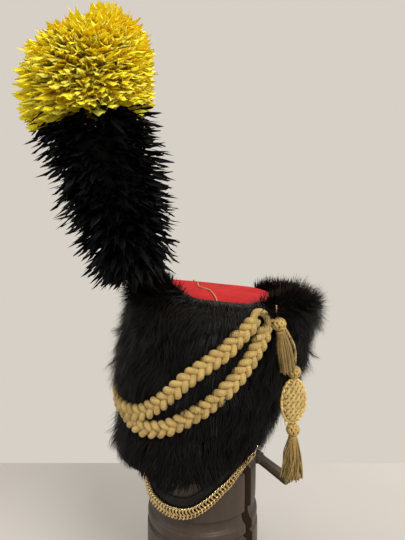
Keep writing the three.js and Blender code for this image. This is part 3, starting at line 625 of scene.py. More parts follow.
def stand_column():
    """The turned column with its slot, and the domed post inside the hat."""
    under = HOLLOW[-1]
    normal = top_normal(under[0])
    disc = crown(under[0], 0, HOLLOW, girth=0.0)
    dome_middle = (disc @ normal - POST_RADIUS - GAP) / normal[2]
    profile = spline([(r * BARREL_RADIUS, z * BARREL_TOP) for r, z in STAND_OUTLINE], 150)
    profile[:, 0] = np.minimum(profile[:, 0], STAND_WIDEST * BARREL_RADIUS)
    profile[:, 1] = np.maximum.accumulate(np.clip(profile[:, 1], 0, BARREL_TOP))
    shoulder = [(POST_RADIUS + past, z) for past, z in ((12, 183), (6.3, 189), (2, 195), (0, POST_FOOT))]
    turn = np.linspace(0, np.pi / 2, 15)[:-1]
    dome = np.stack([POST_RADIUS * np.cos(turn), dome_middle + POST_RADIUS * np.sin(turn)], 1)
    profile = np.vstack([[(3, 0), (50, 0)], profile, shoulder, dome, [(3, dome_middle + POST_RADIUS)]])
    wear = np.clip(-np.gradient(np.gradient(profile[:, 0])) * 1.4, 0, 1)
    wear = np.convolve(wear, [.25, .5, .25], "same")
    lon = np.arange(STAND_STEPS) * 2 * np.pi / STAND_STEPS
    radius, height = profile.T[:, :, None]
    rows = np.stack([radius * np.cos(lon), radius * np.sin(lon), height + 0 * lon], -1)

    def cut(piece):
        cutter = box("slot_cutter", (BARREL_RADIUS - SLOT_DEPTH, -SLOT_WIDTH / 2, SLOT_BOTTOM),
                     (BARREL_RADIUS + SLOT_DEPTH, SLOT_WIDTH / 2, POST_FOOT), math.radians(SLOT_TURN))
        modifier = piece.modifiers.new("slot", "BOOLEAN")
        modifier.operation = "DIFFERENCE"
        modifier.solver = "EXACT"
        modifier.object = cutter
        apply_modifiers(piece)
        bpy.data.objects.remove(cutter)

    form = Form().skin(rows, np.repeat(wear[:, None], STAND_STEPS, 1))
    form.make("turned_column", WOOD, "stand_wood", ["stand_column"], edit=cut)


def stand_handle():
    turn, drop, root_turn = (math.radians(x) for x in (HANDLE_TURN, HANDLE_DROP, HANDLE_ROOT_TURN))
    along = np.array([math.cos(turn) * math.cos(drop), math.sin(turn) * math.cos(drop), -math.sin(drop)])
    reach = BARREL_RADIUS - HANDLE_RADIUS / 2
    root = np.array([math.cos(root_turn) * reach, math.sin(root_turn) * reach, HANDLE_HEIGHT])
    shape = np.array([
        (0, 8.8), (.12, 9), (.2, 9.1), (.235, 8.9), (.25, 7.9), (.28, 7.4), (.4, 7.4), (.6, 7.7), (.8, 8.1),
        (.9, 8.3), (.955, 7.9), (.985, 6.4), (1, 3.6),
    ])
    fine = spline(shape, 60)
    points = root + along * fine[:, :1] * HANDLE_LENGTH
    wear = np.where(fine[:, 0] > .9, .8, .15)
    form = Form().tube(points, np.maximum(fine[:, 1], .5), 28, tint=np.append(np.repeat(wear, 28), [0, 0]))
    form.make("turned_handle", WOOD, "stand_wood", ["stand_handle"])


# The fur


def strand_form(paths, widths, faces_out, tints):
    """Flat tapering strands. paths is (count, steps, 3); the last step is the tip."""
    count, steps = paths.shape[:2]
    side = unit(np.cross(unit(np.gradient(paths, axis=1)), faces_out[:, None]))
    taper = np.linspace(0, 1, steps)
    half = widths[:, None] * np.interp(taper, [0, .35, .75, 1], [.75, 1, .6, 0]) / 2
    half = half[:, :-1, None] * side[:, :-1]
    body = paths[:, :-1]
    points = np.concatenate([body + half, body - half, paths[:, -1:]], 1)
    each = 2 * steps - 1
    first = np.arange(count)[:, None, None] * each
    j = np.arange(steps - 2)
    quads = (first + np.stack([j, j + 1, j + steps, j + steps - 1], 1)).reshape(-1, 4)
    tips = (first + [[steps - 2, each - 1, 2 * steps - 3]]).reshape(-1, 3)
    shade = tints[:, None] * taper[:-1]
    form = Form().add(points, quads, None, np.concatenate([shade, shade, tints[:, None]], 1))
    form.blocks.append((tips, np.zeros((*tips.shape, 2))))
    return form


def fur_shell():
    """The hat's body under the fur, with its hollow and the well in its top."""
    around = np.arange(120) * 3.0
    rings = [crown(height, around, HOLLOW, girth=girth) for height, _, girth in HOLLOW[::-1]]
    rings += [crown(0, around, grow=-2)]
    rings += [crown(height, around, grow=-SHELL_DEPTH)
              for height in (.02, .05, .1, .14, .2, .26, .32, .37, .44, .5, .6, .7, .8, .87, .93, .96)]
    rings += [crown(.975, around, grow=-9)]
    rings += [crown(min(height, .975), around, WELL, girth=girth) for height, _, girth in WELL]
    ends = [crown(table[-1, 0], 0, table, girth=0.0) for table in (HOLLOW, WELL)]
    Form().skin(np.array(rings)[:, ::-1], ends=ends).make("fur_shell", lining_look(), "fur", ["fur_crown"])


def fur_coat(look, ways):
    """Long guard hair over the crown, in locks, in several pieces."""
    height = np.where(rng.random(HAIRS) < .13, rng.uniform(.9, 1, HAIRS), rng.uniform(0, 1, HAIRS))
    angle = rng.uniform(-180, 180, HAIRS)
    keep = rng.random(HAIRS) < np.interp(height, FUR[:, 0], FUR[:, 2])
    aside = np.abs(angle - BAG_ANGLE)
    keep &= (aside > BAG_HALF_SPREAD + 2) | (height < .9)
    fall = np.clip((1 - height) / BAG_DROP, 0, 1)
    keep &= aside > BAG_HALF_SPREAD * np.sqrt(1 - fall ** 3) - 6
    height, angle = height[keep], angle[keep]
    lock_height, lock_angle = rng.uniform(0, 1, LOCKS), rng.uniform(-180, 180, LOCKS)
    paths, outs = hair_paths(height, angle)
    ring_paths, ring_outs = ring_hair(RING_HAIRS)
    height = np.concatenate([height, np.ones(len(ring_paths))])
    paths, outs = np.vstack([paths, ring_paths]), np.vstack([outs, ring_outs])
    locks = hair_paths(lock_height, lock_angle, are_locks=True)[0]
    lock = locks[nearest(paths[:, 0], locks[:, 0])]
    t = np.linspace(0, 1, HAIR_STEPS)[:, None]
    gathered = lock + (paths[:, :1] - lock[:, :1]) * (1 - .72 * t ** 1.3)
    hold = (rng.uniform(.35, .92, len(paths)) * np.where(height < .9, 1, .25))[:, None, None] * t
    paths = press(paths * (1 - hold) + gathered * hold, ways)
    paths[..., 1] -= .65 * np.maximum(paths[..., 1] - BACK_LIMIT, 0)
    tints = np.clip(rng.normal(.42, .24, len(paths)) + .45 * smooth(.85, 1, height), 0, 1)
    widths = rng.uniform(.6, 1.25, len(paths))
    for k, part in enumerate(np.array_split(rng.permutation(len(paths)), 3)):
        strand_form(paths[part], widths[part], outs[part], tints[part]).make(f"fur_coat_{k + 1}", look, "fur")


def far_corner(angle):
    """1 at the crown's far left corner, where the fur lies low."""
    return np.exp(-((angle - 136) / 19) ** 2)


def hair_paths(height, angle, are_locks=False):
    """Where hairs run that are rooted at these places, and the ways out of the fur there."""
    count = len(height)
    round_, up, out = crown_axes(height, angle)
    rim = smooth(.88, 1.0, height)
    bagged = (smooth(BAG_HALF_SPREAD + 9, BAG_HALF_SPREAD - 3, np.abs(angle - BAG_ANGLE))
              * smooth(1 - BAG_DROP - .05, 1 - BAG_DROP + .12, height))
    near = smooth(10, 36, angle) * smooth(84, 60, angle)
    corner = far_corner(angle)
    far = smooth(148, 166, np.abs(angle))
    top = (rim * (1 - .9 * near))[:, None]
    out = unit(out * (1 - .75 * top) + UP * .75 * top)
    roots = crown(height, angle) - out * HAIR_ROOT_DEPTH
    flow = ripple(angle, height, 5)[:, None] * .45 + rng.normal(0, .2, (count, 1))
    down = unit(-up + round_ * flow)
    lift = (.85 - .6 * near - .5 * corner + .4 * far + .1 * rng.normal(0, 1, count))[:, None]
    standing = unit(crown(height, angle) - crown(height, angle, share=.6)) * .7 + UP * lift + round_ * flow * .4
    down = unit(down * (1 - top) + standing * top + rng.normal(0, .17, (count, 3)))
    long = np.interp(height, [0, .06, .3, .85, 1], [33, 38, 40, 38, 30]) * rng.uniform(.72, 1.18, count)
    low = smooth(.14, 0, height)
    grown = rng.uniform(-.3, .4, count) * (1 - near) - .3 * near - .4 * corner + .15 * far
    long = long * (1 + rim * grown) + 10 * low * smooth(18, 38, angle) * smooth(95, 64, angle)
    rise = np.interp(height, [0, .08, .5, .8, 1], [.08, .22, .27, .36, .45])
    if are_locks:
        wild = .08 + .16 * smooth(-80, -60, angle) * smooth(-5, -20, angle) * smooth(.4, .6, height)
        rise = rise + np.clip(rng.normal(0, .17, count), -.15, .5) + .55 * (rng.random(count) < wild)
    else:
        rise = rise + rng.normal(0, .1, count) + .45 * (rng.random(count) < .05)
    rise = (rise * (1 - bagged) * (1 - .6 * near * smooth(.86, .97, height)) - .04 * bagged)[:, None]
    hang = np.interp(angle, [-180, -95, 16, 40, 60, 78, 95, 180], [14, 5, 1, 32, 31, 10, 8, 14])
    long = np.minimum(long, height * CROWN_HEIGHT * 1.1 + hang * rng.uniform(.8, 1.1, count))
    long = (long * (1 - .4 * bagged))[:, None, None]
    t = np.linspace(0, 1, HAIR_STEPS)[:, None]
    start = unit(out * (.8 - .7 * bagged - .45 * near * rim)[:, None] + down * .6)
    end = unit(out * rise + down * (1 - np.abs(rise) * .4))
    middle = start[:, None] * t + (end - start)[:, None] * (t - (1 - t) * t * .55) * t
    sag = UP * t ** 2 * (3.0 * (1 - top) * (1 - .8 * low[:, None]))[:, None]
    curl = rng.normal(0, 1.1, (count, 1, 3)) * np.sin(t * 3.1)
    return roots[:, None] + middle * long * .92 - sag + curl, out


def ring_hair(count):
    """Hair on the flat ring between the crown's edge and the well."""
    angle = rng.uniform(-180, 180, count)
    bagged = smooth(BAG_HALF_SPREAD + 5, BAG_HALF_SPREAD + 1, np.abs(angle - BAG_ANGLE))
    angle = angle[bagged < .5]
    count = len(angle)
    roots = crown(1.0, angle, girth=FUR[-1, 2] * rng.uniform(.905, 1, count)) - top_normal(1.0) * 3.5
    round_ = crown_axes(1.0, angle)[0]
    outward = unit(crown(1.0, angle) - crown(1.0, angle, share=.7))
    near = smooth(6, 32, angle) * smooth(82, 60, angle)
    lift = .95 * (1 - near) + .1 + rng.normal(0, .15, count) + .4 * (1 - near) * (rng.random(count) < .1)
    inside = rng.random(count) < .5
    lift = lift - .35 * near * inside
    inward = np.where(inside, -.45 - .5 * near, 1.0)[:, None]
    swirl = rng.normal(0, .35, (count, 1)) + .4 * ripple(angle, 1.0, 9)[:, None]
    way = unit(outward * inward + round_ * swirl + UP * lift[:, None])
    lower, longer = 1 - .65 * far_corner(angle), 1 + .5 * smooth(150, 168, np.abs(angle))
    long = (rng.uniform(13, 26, count) * (1 - .25 * near) * lower * longer)[:, None, None]
    t = np.linspace(0, 1, HAIR_STEPS)[:, None]
    bend = UP * t ** 2 * (rng.uniform(1, 6, count) * (1 + near))[:, None, None]
    return roots[:, None] + way[:, None] * t * long - bend, np.broadcast_to(top_normal(1.0), (count, 3))


def nearest(points, centres):
    """Which of the centres lies nearest to each point."""
    found = np.zeros(len(points), int)
    centres = centres.astype(np.float32)
    for start in range(0, len(points), 5000):
        part = points[start:start + 5000, None].astype(np.float32)
        found[start:start + 5000] = ((part - centres) ** 2).sum(-1).argmin(1)
    return found


def press(paths, ways):
    """Keeps hair under the cords that lie on it. ways has points of the cords and the ways out there."""
    flat = paths.reshape(-1, 3)
    cord = ways[nearest(flat, ways[:, :3])]
    apart, out = flat - cord[:, :3], cord[:, 3:]
    under = smooth(15, 10.5, np.linalg.norm(apart, axis=1))
    above = np.maximum((apart * out).sum(1) + HAIR_UNDER_CORD, 0)
    return (flat - out * (above * under)[:, None]).reshape(paths.shape)


# The bag

def bag_place(share, angle):
    """A point of the cloth over the well: share of the well's half length, angle from the front."""
    aside = np.abs((angle - BAG_ANGLE + 180) % 360 - 180)
    puff = BAG_PUFF * 1.3 * (1 - share ** 2) + 14.5 * smooth(.25, 1, share) * smooth(88, 40, aside)
    base = crown(WELL[-1, 0], angle, WELL, share=share, girth=WELL[-1, 2])
    turn = np.radians(angle)
    dent = 1.6 * np.sin(turn * 3 + share * 5) + 1.1 * np.sin(turn * 7 - share * 9)
    lift = GAP + puff + BAG_THICKNESS / 2 + dent * share * (1 - share) * 2
    return base + top_normal(WELL[-1, 0]) * lift[..., None]


def bag_fall_rows():
    """The crown's sections from the well's edge down the fall, each with its share of the fall's spread."""
    rows = [(WELL[0], 1.0)]
    for height in [1, .96, .87, .7] + [1 - fall * BAG_DROP for fall in (.6, .7, .8, .88, .94, 1)]:
        fall = (1 - height) / BAG_DROP
        section = (height, np.interp(height, FUR[:, 0], FUR[:, 1]), np.interp(height, FUR[:, 0], FUR[:, 2]))
        rows.append((section, max(.15, math.sqrt(1 - min(1, fall ** 3)))))
    return rows


def bag_row_points(rows, k, angle, off):
    """Points of the fall's row k, this far off the fur."""
    def ring(row, angle):
        section = rows[min(max(row, 0), len(rows) - 1)][0]
        return crown(section[0], angle, np.array([section]), girth=section[2])
    round_ = ring(k, angle + 1) - ring(k, angle - 1)
    return ring(k, angle) + unit(np.cross(ring(k + 1, angle) - ring(k - 1, angle), round_)) * off


def bag():
    """The cloth over the well and down the wearer's right. Returns the fall's rows."""
    around = np.arange(72) * 5.0
    top = np.array([bag_place(share, around) for share in np.linspace(.04, .98, 17)])
    rows = bag_fall_rows()
    across = np.linspace(-1, 1, BAG_COLUMNS)
    fall = [bag_place(share, BAG_ANGLE + (BAG_HALF_SPREAD + 4) * across) for share in (.9, .97)]
    for k, (_, spread) in enumerate(rows):
        fold = 1.4 * np.sin(across * 7 + k * .5) * smooth(0, 4, k) * smooth(len(rows), len(rows) - 3, k)
        off = BAG_LIFT + BAG_THICKNESS / 2 + np.maximum(fold, -.4)
        fall.append(bag_row_points(rows, k, BAG_ANGLE + BAG_HALF_SPREAD * spread * across, off[:, None]))
    fine = np.stack([spline(line, 38) for line in np.swapaxes(fall, 0, 1)], 1)
    form = Form().grid(top, around=True)
    form.fan(0, len(around), bag_place(0.0, 0.0), first=True)
    form.grid(fine[:, ::-1])

    def thicken(piece):
        modifier = piece.modifiers.new("cloth", "SOLIDIFY")
        modifier.thickness = BAG_THICKNESS * MM * .8
        modifier.offset = 0
        modifier = piece.modifiers.new("soft", "SUBSURF")
        modifier.levels = modifier.render_levels = 1
        apply_modifiers(piece)

    piece = form.make("bag_cloth", cloth_look(), "bag_cloth", ["bag"], edit=thicken)
    return rows


def piping(rows):
    """The gold seam over the bag's top and down its fall."""
    look = gimp_look("piping", (.66, .36, .10), (.38, .17, .04), .8, 1)
    route = [(.97, 44), (.8, 41), (.6, 34), (.4, 14), (.33, -26), (.48, -66), (.7, -87), (.9, -96)]
    points = [bag_place(share, angle) + top_normal(.925) * (SEAM_LIFT + .6) for share, angle in route]
    for k in range(len(rows) - 1):
        angle = BAG_ANGLE + 13 * (1 - k / (len(rows) - 2))
        points.append(bag_row_points(rows, k, angle, BAG_LIFT + BAG_THICKNESS / 2 + SEAM_LIFT + .9))
    (way,), length = even(spline(points, 400), 300)
    Form().twist(way, length, 3.2, .45, .62, 7).make("bag_seam", look, "piping", ["bag_piping"])


# The plume


def plume_axis(height):
    """The plume's middle at a share of its height, and the way along it."""
    turn = np.pi * np.minimum(1, height / PLUME_LEAN_END)
    lean = PLUME_LEAN * (1 - np.cos(turn)) / 2
    slope = PLUME_LEAN * np.pi * np.sin(turn) / (2 * PLUME_LEAN_END)
    seat = crown(1.0, 0, girth=PLUME_SEAT_GIRTH)
    middle = seat + np.stack([0 * lean, -PLUME_REACH - lean, PLUME_STEM_SHOW + height * PLUME_HEIGHT], -1)
    return middle, unit(np.stack([0 * slope, -slope, 0 * slope + PLUME_HEIGHT], -1))


def plume_surface(table, height, lon):
    """The plume's middle and radius at these heights, and its out and along directions."""
    middle, along = plume_axis(height)
    radius, back = (PLUME_RADIUS * np.interp(height, table[:, 0], table[:, column]) for column in (1, 2))
    middle = middle + np.stack([0 * back, back, 0 * back], -1)
    across = np.array([1.0, 0, 0])
    return middle, radius, spin(across, unit(np.cross(along, across)), lon), along


def plume_core(table, look, name, shares, slot, replaces, top=.035):
    """A filling under the feathers, to shares of the plume's radius at its foot and its top."""
    heights = np.linspace(table[0, 0] + .045, table[-1, 0] - top, 14)
    lon = np.arange(24) * 2 * np.pi / 24
    rings = []
    for height in heights:
        middle, radius, out, _ = plume_surface(table, np.full(24, height), lon)
        rings.append(middle + out * radius[:, None] * np.interp(height, heights[[0, -1]], shares))
    Form().skin(np.array(rings)).make(name, look, slot, replaces)


def feathers(root, way, up, long, wide, droop, cup, ragged, pointed, columns, rows, tint):
    """Many feathers at once, each a bent vane with a ragged edge. Returns a Form."""
    count = len(root)
    side = unit(np.cross(way, up))
    root, way, side, lift, long, wide, droop, cup, tint = (
        value[:, None, None] for value in (root, way, side, np.cross(side, way), long, wide, droop, cup, tint))
    t = np.linspace(0, 1, rows)
    s = np.linspace(-1, 1, columns)
    i, k, quads = net(rows, columns)
    corners = np.stack([t[i] * 30, np.abs(s[k])], -1)
    t = t[:, None]
    shape = np.interp(t, [0, .2, .55, .8, .93, 1], [.16, .6, 1, .9, *((.55, .04) if pointed else (.74, .3))])
    edge = rng.normal(0, 1, (count, rows, columns)) * ragged * s ** 2 * t
    reach = (t * (1 - .13 * (1 if pointed else .8) * s ** 2 * t)
             + rng.normal(0, ragged * .5, (count, 1, columns)) * t ** 4)
    half = wide / 2 * shape * s * (1 + edge)
    wave = rng.uniform(-1, 1, (count, 1, 1)) * .04 * long * np.sin(t * 5) * s
    raised = cup * s ** 2 * wide * shape + wave
    points = (root + way * (long * reach)[..., None] + side * half[..., None] + lift * raised[..., None]
              - UP * (droop * t ** 2 * long)[..., None])
    faces = (np.arange(count)[:, None, None] * rows * columns + quads).reshape(-1, 4)
    # Painted light: the tint darkens towards the root and the middle, as shade between the feathers, and pales
    # towards the tip and the edges, as lit rims. The given tint adds a random part per feather.
    shade = np.clip(tint + .9 * (t - .62) + .3 * (s ** 2 - .3), 0, 1)
    return Form().add(points, faces, np.tile(corners, (count, 1, 1)), shade)


def scatter(count, low, high):
    """Heights and turns of places about even over the plume."""
    height = np.sort(rng.uniform(low, high, count))
    return height, np.arange(count) * GOLDEN_ANGLE + rng.normal(0, .25, count)


def black_plume():
    look, count = black_feather_look(), BLACK_FEATHERS
    plume_core(LOWER_PLUME, look, "plume_lower_core", (.66, .66), "black_feather", ["plume_lower"])
    height, lon = scatter(count, 0, .605)
    middle, radius, out, along = plume_surface(LOWER_PLUME, height, lon)
    low = smooth(.16, 0, height)
    tilt = np.interp(height, [0, .08, .25, .57, .605], [-.95, -.5, -.24, -.12, -.3]) + rng.normal(0, .1, count)
    way = unit(out + along * tilt[:, None] + rng.normal(0, .11, (count, 3)))
    long = rng.uniform(40, 58, count) * (1 + .12 * low)
    past = np.where(rng.random(count) < .3, rng.uniform(2, 15, count), rng.uniform(-14, 2, count))
    root = middle + out * (radius + past)[:, None] - way * long[:, None]
    form = feathers(root, way, along, long, rng.uniform(6, 11, count), rng.uniform(0, .16, count) + low * .12,
                    rng.uniform(.05, .3, count), .16, True, 5, 6, rng.uniform(-.1, .6, count))
    form.make("plume_lower_feathers", look, "black_feather")


def yellow_plume():
    """Broad petals and, over them, narrower feathers. Near the top they close over the plume's end."""
    look = yellow_feather_look()
    plume_core(UPPER_PLUME, look, "plume_upper_core", (.82, .36), "yellow_feather", ["plume_upper"], .12)
    sunk_side = unit(np.array([-.643, -.766, .2]))
    for name, count, columns, wide, long, past, ragged, turn in (
        ("plume_upper_petals", PETALS, 6, (12, 25), (46, 64), (-9, 2), .05, .05),
        ("plume_upper_edges", EDGE_FEATHERS, 5, (5, 12), (26, 44), (-6, 5), .09, .1),
    ):
        height, lon = scatter(count, .615, .99)
        middle, radius, out, along = plume_surface(UPPER_PLUME, height, lon)
        dome = smooth(.8, 1, height)
        sunk = np.clip(out @ sunk_side, 0, 1)
        end = np.clip((height - .9) / .09, 0, 1)
        radius = (radius - 13 * sunk * smooth(.72, .88, height)) * np.sqrt(1 - end)
        droop = rng.uniform(.05, .42, count) * smooth(.6, .66, height)
        tilt = np.interp(height, [.6, .68, .8, 1], [-.3, -.1, .14, 1]) + rng.normal(0, turn, count)
        tilt = tilt + .75 * droop + 1.3 * end
        way = unit(out + along * tilt[:, None] + rng.normal(0, turn, (count, 3)))
        size = rng.uniform(*long, count) * (1 - .15 * dome)
        root = (middle + out * (radius + rng.uniform(*past, count))[:, None] - way * size[:, None]
                + along * (dome * (13 - 17 * sunk))[:, None])
        up = unit(along + np.cross(out, along) * rng.normal(0, turn * 2.4, (count, 1)))
        form = feathers(root, way, up, size, rng.uniform(*wide, count), droop,
                        rng.uniform(-.2, .0, count), ragged, False, columns, 7, rng.uniform(.12, .7, count))
        form.make(name, look, "yellow_feather")


# Cap lines and tassel


def plait(name, table, replaces):
    """Three strands plaited along a cap line. Returns its points with the ways out of the fur, and its length."""
    angle, height, lift = spline(table, 700).T
    out = crown_axes(height, angle)[2]
    points = crown(height, angle) + out * (GAP + PLAIT_THICKNESS * (.5 + lift) - .8)[:, None]
    (points, out), length = even(points, 700, out)
    out = unit(out)
    across = unit(np.cross(tangents(points), out))
    form = Form()
    s = np.linspace(0, length, len(points))
    narrow = np.minimum(smooth(-9, 13, s), smooth(length + 9, length - 13, s))
    ridge = .35 * (np.cos(np.arange(STRAND_SIDES) * 2 * np.pi / STRAND_SIDES) > .9)
    for k in range(3):
        turn = 2 * np.pi * (s / PLAIT_PITCH + k / 3)
        wide = PLAIT_HALF_WIDTH * (np.sin(turn) - .11 * np.sin(3 * turn)) * narrow
        deep = PLAIT_DEPTH * np.sin(2 * turn) * narrow
        way = points + across * wide[:, None] + out * deep[:, None]
        # The tint is painted shade where a strand goes under the others, plus a darker line along one side of each
        # strand. The end caps take the darkest tint.
        (way, under), strand = even(way, int(length * .8), (smooth(.6, -2.2, deep) * narrow)[:, None])
        shade = np.clip(under * .95 + ridge, 0, 1)
        form.tube(way, STRAND_RADIUS + .2 * np.sin(np.linspace(0, strand / 5, len(way))), STRAND_SIDES,
                  tint=np.append(shade, [1, 1]))
    form.make(name, GIMP, "gold_gimp", replaces)
    return np.hstack([points, out]), length


def wires():
    """The wire hooks that hold the cap lines and the chin chain."""
    reach = LINE_RADIUS * 2
    for side, at in (("left", HOOK_AT), ("right", FAR_HOOK_AT)):
        tip = off_fur(at, reach)
        points = [off_fur(at, -2), off_fur(at, reach * .7), tip + UP * reach * .15, tip + UP * reach * .9]
        Form().tube(spline(points, 26), HOOK_RADIUS * .95, 12).make(
            "line_hook_" + side, BRASS, "brass", ["cap_line_hook_" + side])
    for side, share, sign in (("left", 0.0, 1), ("right", 1.0, -1)):
        middle, along, _, _ = chain_station(share)
        end = middle - along * sign * (GAP + CHAIN_PITCH * .35)
        at = (sign * EAR_HOOK_AT[0], EAR_HOOK_AT[1])
        top = off_fur(at, EAR_HOOK_REACH)
        points = [off_fur(at, -3), top, top * .5 + end * .5, end]
        Form().tube(spline(points, 30), HOOK_RADIUS, 12).make(
            "ear_wire_" + side, BRASS, "brass", ["ear_hook_" + side])


def knot(name, middle, node):
    """A woven ball of cord: two cords side by side, round a core."""
    radius = KNOT_RADIUS + .3
    t = np.linspace(0, 2 * np.pi, 401)[:-1]
    lat = 1.22 * np.cos(KNOT_BIGHTS * t)
    out = radius - KNOT_CORD * 1.05 + .55 * np.sin(KNOT_BIGHTS * KNOT_LEADS * t)
    form = Form()
    for shift in (-.1, .1):
        lon = KNOT_LEADS * t + shift
        points = np.stack([np.cos(lat) * np.cos(lon), np.cos(lat) * np.sin(lon), np.sin(lat) * KNOT_FLATNESS], 1)
        form.loop(points * out[:, None] + middle, KNOT_CORD * .72, 6, .05)
    core = radius - KNOT_CORD * 1.9
    # The core is painted dark, as shade between the cords.
    form.ball(middle, np.diag((core, core, core * KNOT_FLATNESS)), tint=.9)
    form.make(name, GIMP, "gold_gimp", [node])


def fringe(name, start, end, flare, node, strands, loose=0.0, seed=3):
    """Twisted threads from start to end, wider by flare at the end, under two bands."""
    draw = np.random.default_rng(seed)
    length = np.linalg.norm(end - start)
    along = (end - start) / length
    side = unit(np.cross(along, (0.3, 1, 0.1)))
    other = np.cross(along, side)
    form = Form()
    s = np.linspace(0, 1, 12)
    girth = FRINGE_RADIUS * (.5 + .5 * np.minimum(1, 2.4 * s) + flare * s)
    for k in range(strands):
        rho = math.sqrt((k + .5) / strands)
        aside = .5 * np.sin(s * draw.uniform(3, 8) + draw.uniform(0, 6.3)) * s * (1 + 3 * loose)
        drift = draw.normal(0, loose * 3.0) * s ** 2
        radius = (girth - .9) * rho * (1 - .05 * draw.random())
        reach = s * length * draw.uniform(.93, 1.0)
        points = (start + along * reach[:, None] + side * aside[:, None] + other * drift[:, None]
                  + spin(side, other, k * GOLDEN_ANGLE + .25 * s + drift * .12) * radius[:, None]
                  + spin(side, other, s * length / .95) * .18)
        form.tube(points, draw.uniform(.62, .95), 5, tint=draw.uniform(0, .9))
    turn = np.linspace(0, 2 * np.pi, 25)[:-1]
    for band in range(2):
        middle = start + along * (.6 + band * 1.3)
        form.loop(middle + spin(side, other, turn) * (girth[0] * .82 + band * .3), 1.0, 7, .1)
    form.make(name, FRINGE_GIMP, "gold_gimp", [node])


def flounder_axes():
    """The way out of the flounder's face, and across it."""
    facing = math.radians(FLOUNDER_FACING)
    out = np.array([math.sin(facing), -math.cos(facing), 0])
    return out, np.cross(UP, out)


def flounder(top):
    """A flat oval woven of cord, with a looped edge."""
    out, across = flounder_axes()
    middle = top - UP * FLOUNDER_LENGTH / 2
    a, b, c = FLOUNDER_WIDTH / 2 - 3.2, FLOUNDER_LENGTH / 2 - 3.2, FLOUNDER_THICKNESS / 2 - 2.2
    # The core is painted dark, as shade between the cords. The second slant's cords lie deeper and are painted
    # darker, as shaded. Each cord also adds a random tint.
    form = Form().ball(middle, (across * a, -out * c, UP * b), 14, 26, .95)
    for sign, radius, shade in ((1, 2.15, 0), (-1, 1.7, .35)):
        for k in range(-WEAVE_CORDS, WEAVE_CORDS + 1):
            p = np.linspace(-b * 1.5, b * 1.5, 150)
            x, z = sign * (p - k * WEAVE_PITCH) * .608, (p + k * WEAVE_PITCH) * .792
            inside = (x / a) ** 2 + (z / b) ** 2
            x, z, p, inside = (value[inside < .985] for value in (x, z, p, inside))
            if len(p) < 6:
                continue
            over = np.pi if (k % 2 == 0) == (sign > 0) else 0
            depth = c * np.sqrt(1 - inside) + .7 + .8 * np.cos(np.pi * p / WEAVE_PITCH + over) + .45 * sign
            for face in (1, -1):
                points = middle + across * x[:, None] + UP * z[:, None] + out * (face * depth)[:, None]
                (points,), _ = even(points, max(7, int(len(p) * .42)))
                form.tube(points, radius, 7, rng.uniform(0, .15) + shade, out * face, squeeze=.7)
    turn = np.linspace(0, 2 * np.pi, 221)[:-1]
    scallop = 1 + .045 * np.abs(np.sin(turn * 11))
    edge = spin(across * (a + 1.2), UP * (b + 1.2), turn) * scallop[:, None]
    form.loop(middle + edge + out * (.8 * np.sin(turn * 22))[:, None], 1.9, 8, .05)
    for shift, size in ((0, 4.2), (1, 3.4)):
        centre = middle - UP * (b + .5 - shift * 5) - across * (9 + shift * 1.5)
        form.loop((centre + spin(across * size * .6, UP * size, turn))[::9], .8, 6, .1)
    form.make("flounder_weave", FLOUNDER_GIMP, "gold_gimp", ["flounder"])


def tassel():
    """Knots, fringes, cord and flounder. Returns points of them with the way out of the fur, to press it."""
    half = KNOT_RADIUS * KNOT_FLATNESS
    upper = off_fur(UPPER_KNOT_AT, KNOT_RADIUS + GAP)
    middle = off_fur(MIDDLE_KNOT_AT, KNOT_RADIUS + GAP)
    fringe_to = off_fur(UPPER_FRINGE_END_AT, FRINGE_RADIUS + GAP)
    flounder_top = middle - UP * (half + GAP)
    lower = flounder_top - UP * (FLOUNDER_LENGTH + half + GAP)
    lower_top = lower - UP * (half + GAP)
    across = flounder_axes()[1]
    for name, centre, node in (("knot_upper", upper, "upper_tassel_knot"), ("knot_middle", middle, "middle_knot"),
                               ("knot_lower", lower, "lower_tassel_knot")):
        knot(name, centre, node)
    fringe("fringe_upper", upper + unit(fringe_to - upper) * (KNOT_RADIUS - .5), fringe_to, 0,
           "upper_tassel_fringe", 110)
    fringe("fringe_lower", lower_top + UP * .5, lower_top - UP * LOWER_FRINGE_LENGTH, FRINGE_FLARE,
           "lower_tassel_fringe", 105, 1.0, 8)
    cord = [upper + across * KNOT_RADIUS / 2, (upper + middle) / 2 + across * FRINGE_RADIUS * .95, middle]
    (way,), length = even(spline(cord, 60), 70)
    form = Form().twist(way, length, 9, 1.15, 1.3, 8)
    link = [off_fur((73.5, .862), LINE_RADIUS * 1.6), off_fur((76.5, .866), LINE_RADIUS * 2), upper]
    form.tube(spline(link, 24), 2.2, 10)
    form.make("tassel_twist", GIMP, "gold_gimp", ["tassel_cord"])
    flounder(flounder_top)
    spots = [upper, fringe_to, middle, (upper + fringe_to) / 2]
    spots += [flounder_top - UP * down + across * aside for down in (8, 20, 32, 44, 56) for aside in (-11, 0, 11)]
    return np.hstack([spots, np.tile(crown_axes(.7, 90)[2], (len(spots), 1))])


def line_loop():
    points = [off_fur(at, GAP + LINE_RADIUS) for at in [(64, .83), *LOOP_ROUTE, (74, .80)]]
    (way,), _ = even(spline(points, 120), 70)
    Form().tube(way, LINE_RADIUS, 16, tint=.05).make("line_loop", GIMP, "gold_gimp", ["cap_line_loop"])


# Chin strap and chain

(CHAIN_CURVE,), CHAIN_LENGTH = even(spline([
    (r * math.sin(math.radians(a)), -r * math.cos(math.radians(a)), z) for a, r, z in CHAIN_ROUTE], 900), 900)
CHAIN_ALONG = tangents(CHAIN_CURVE)


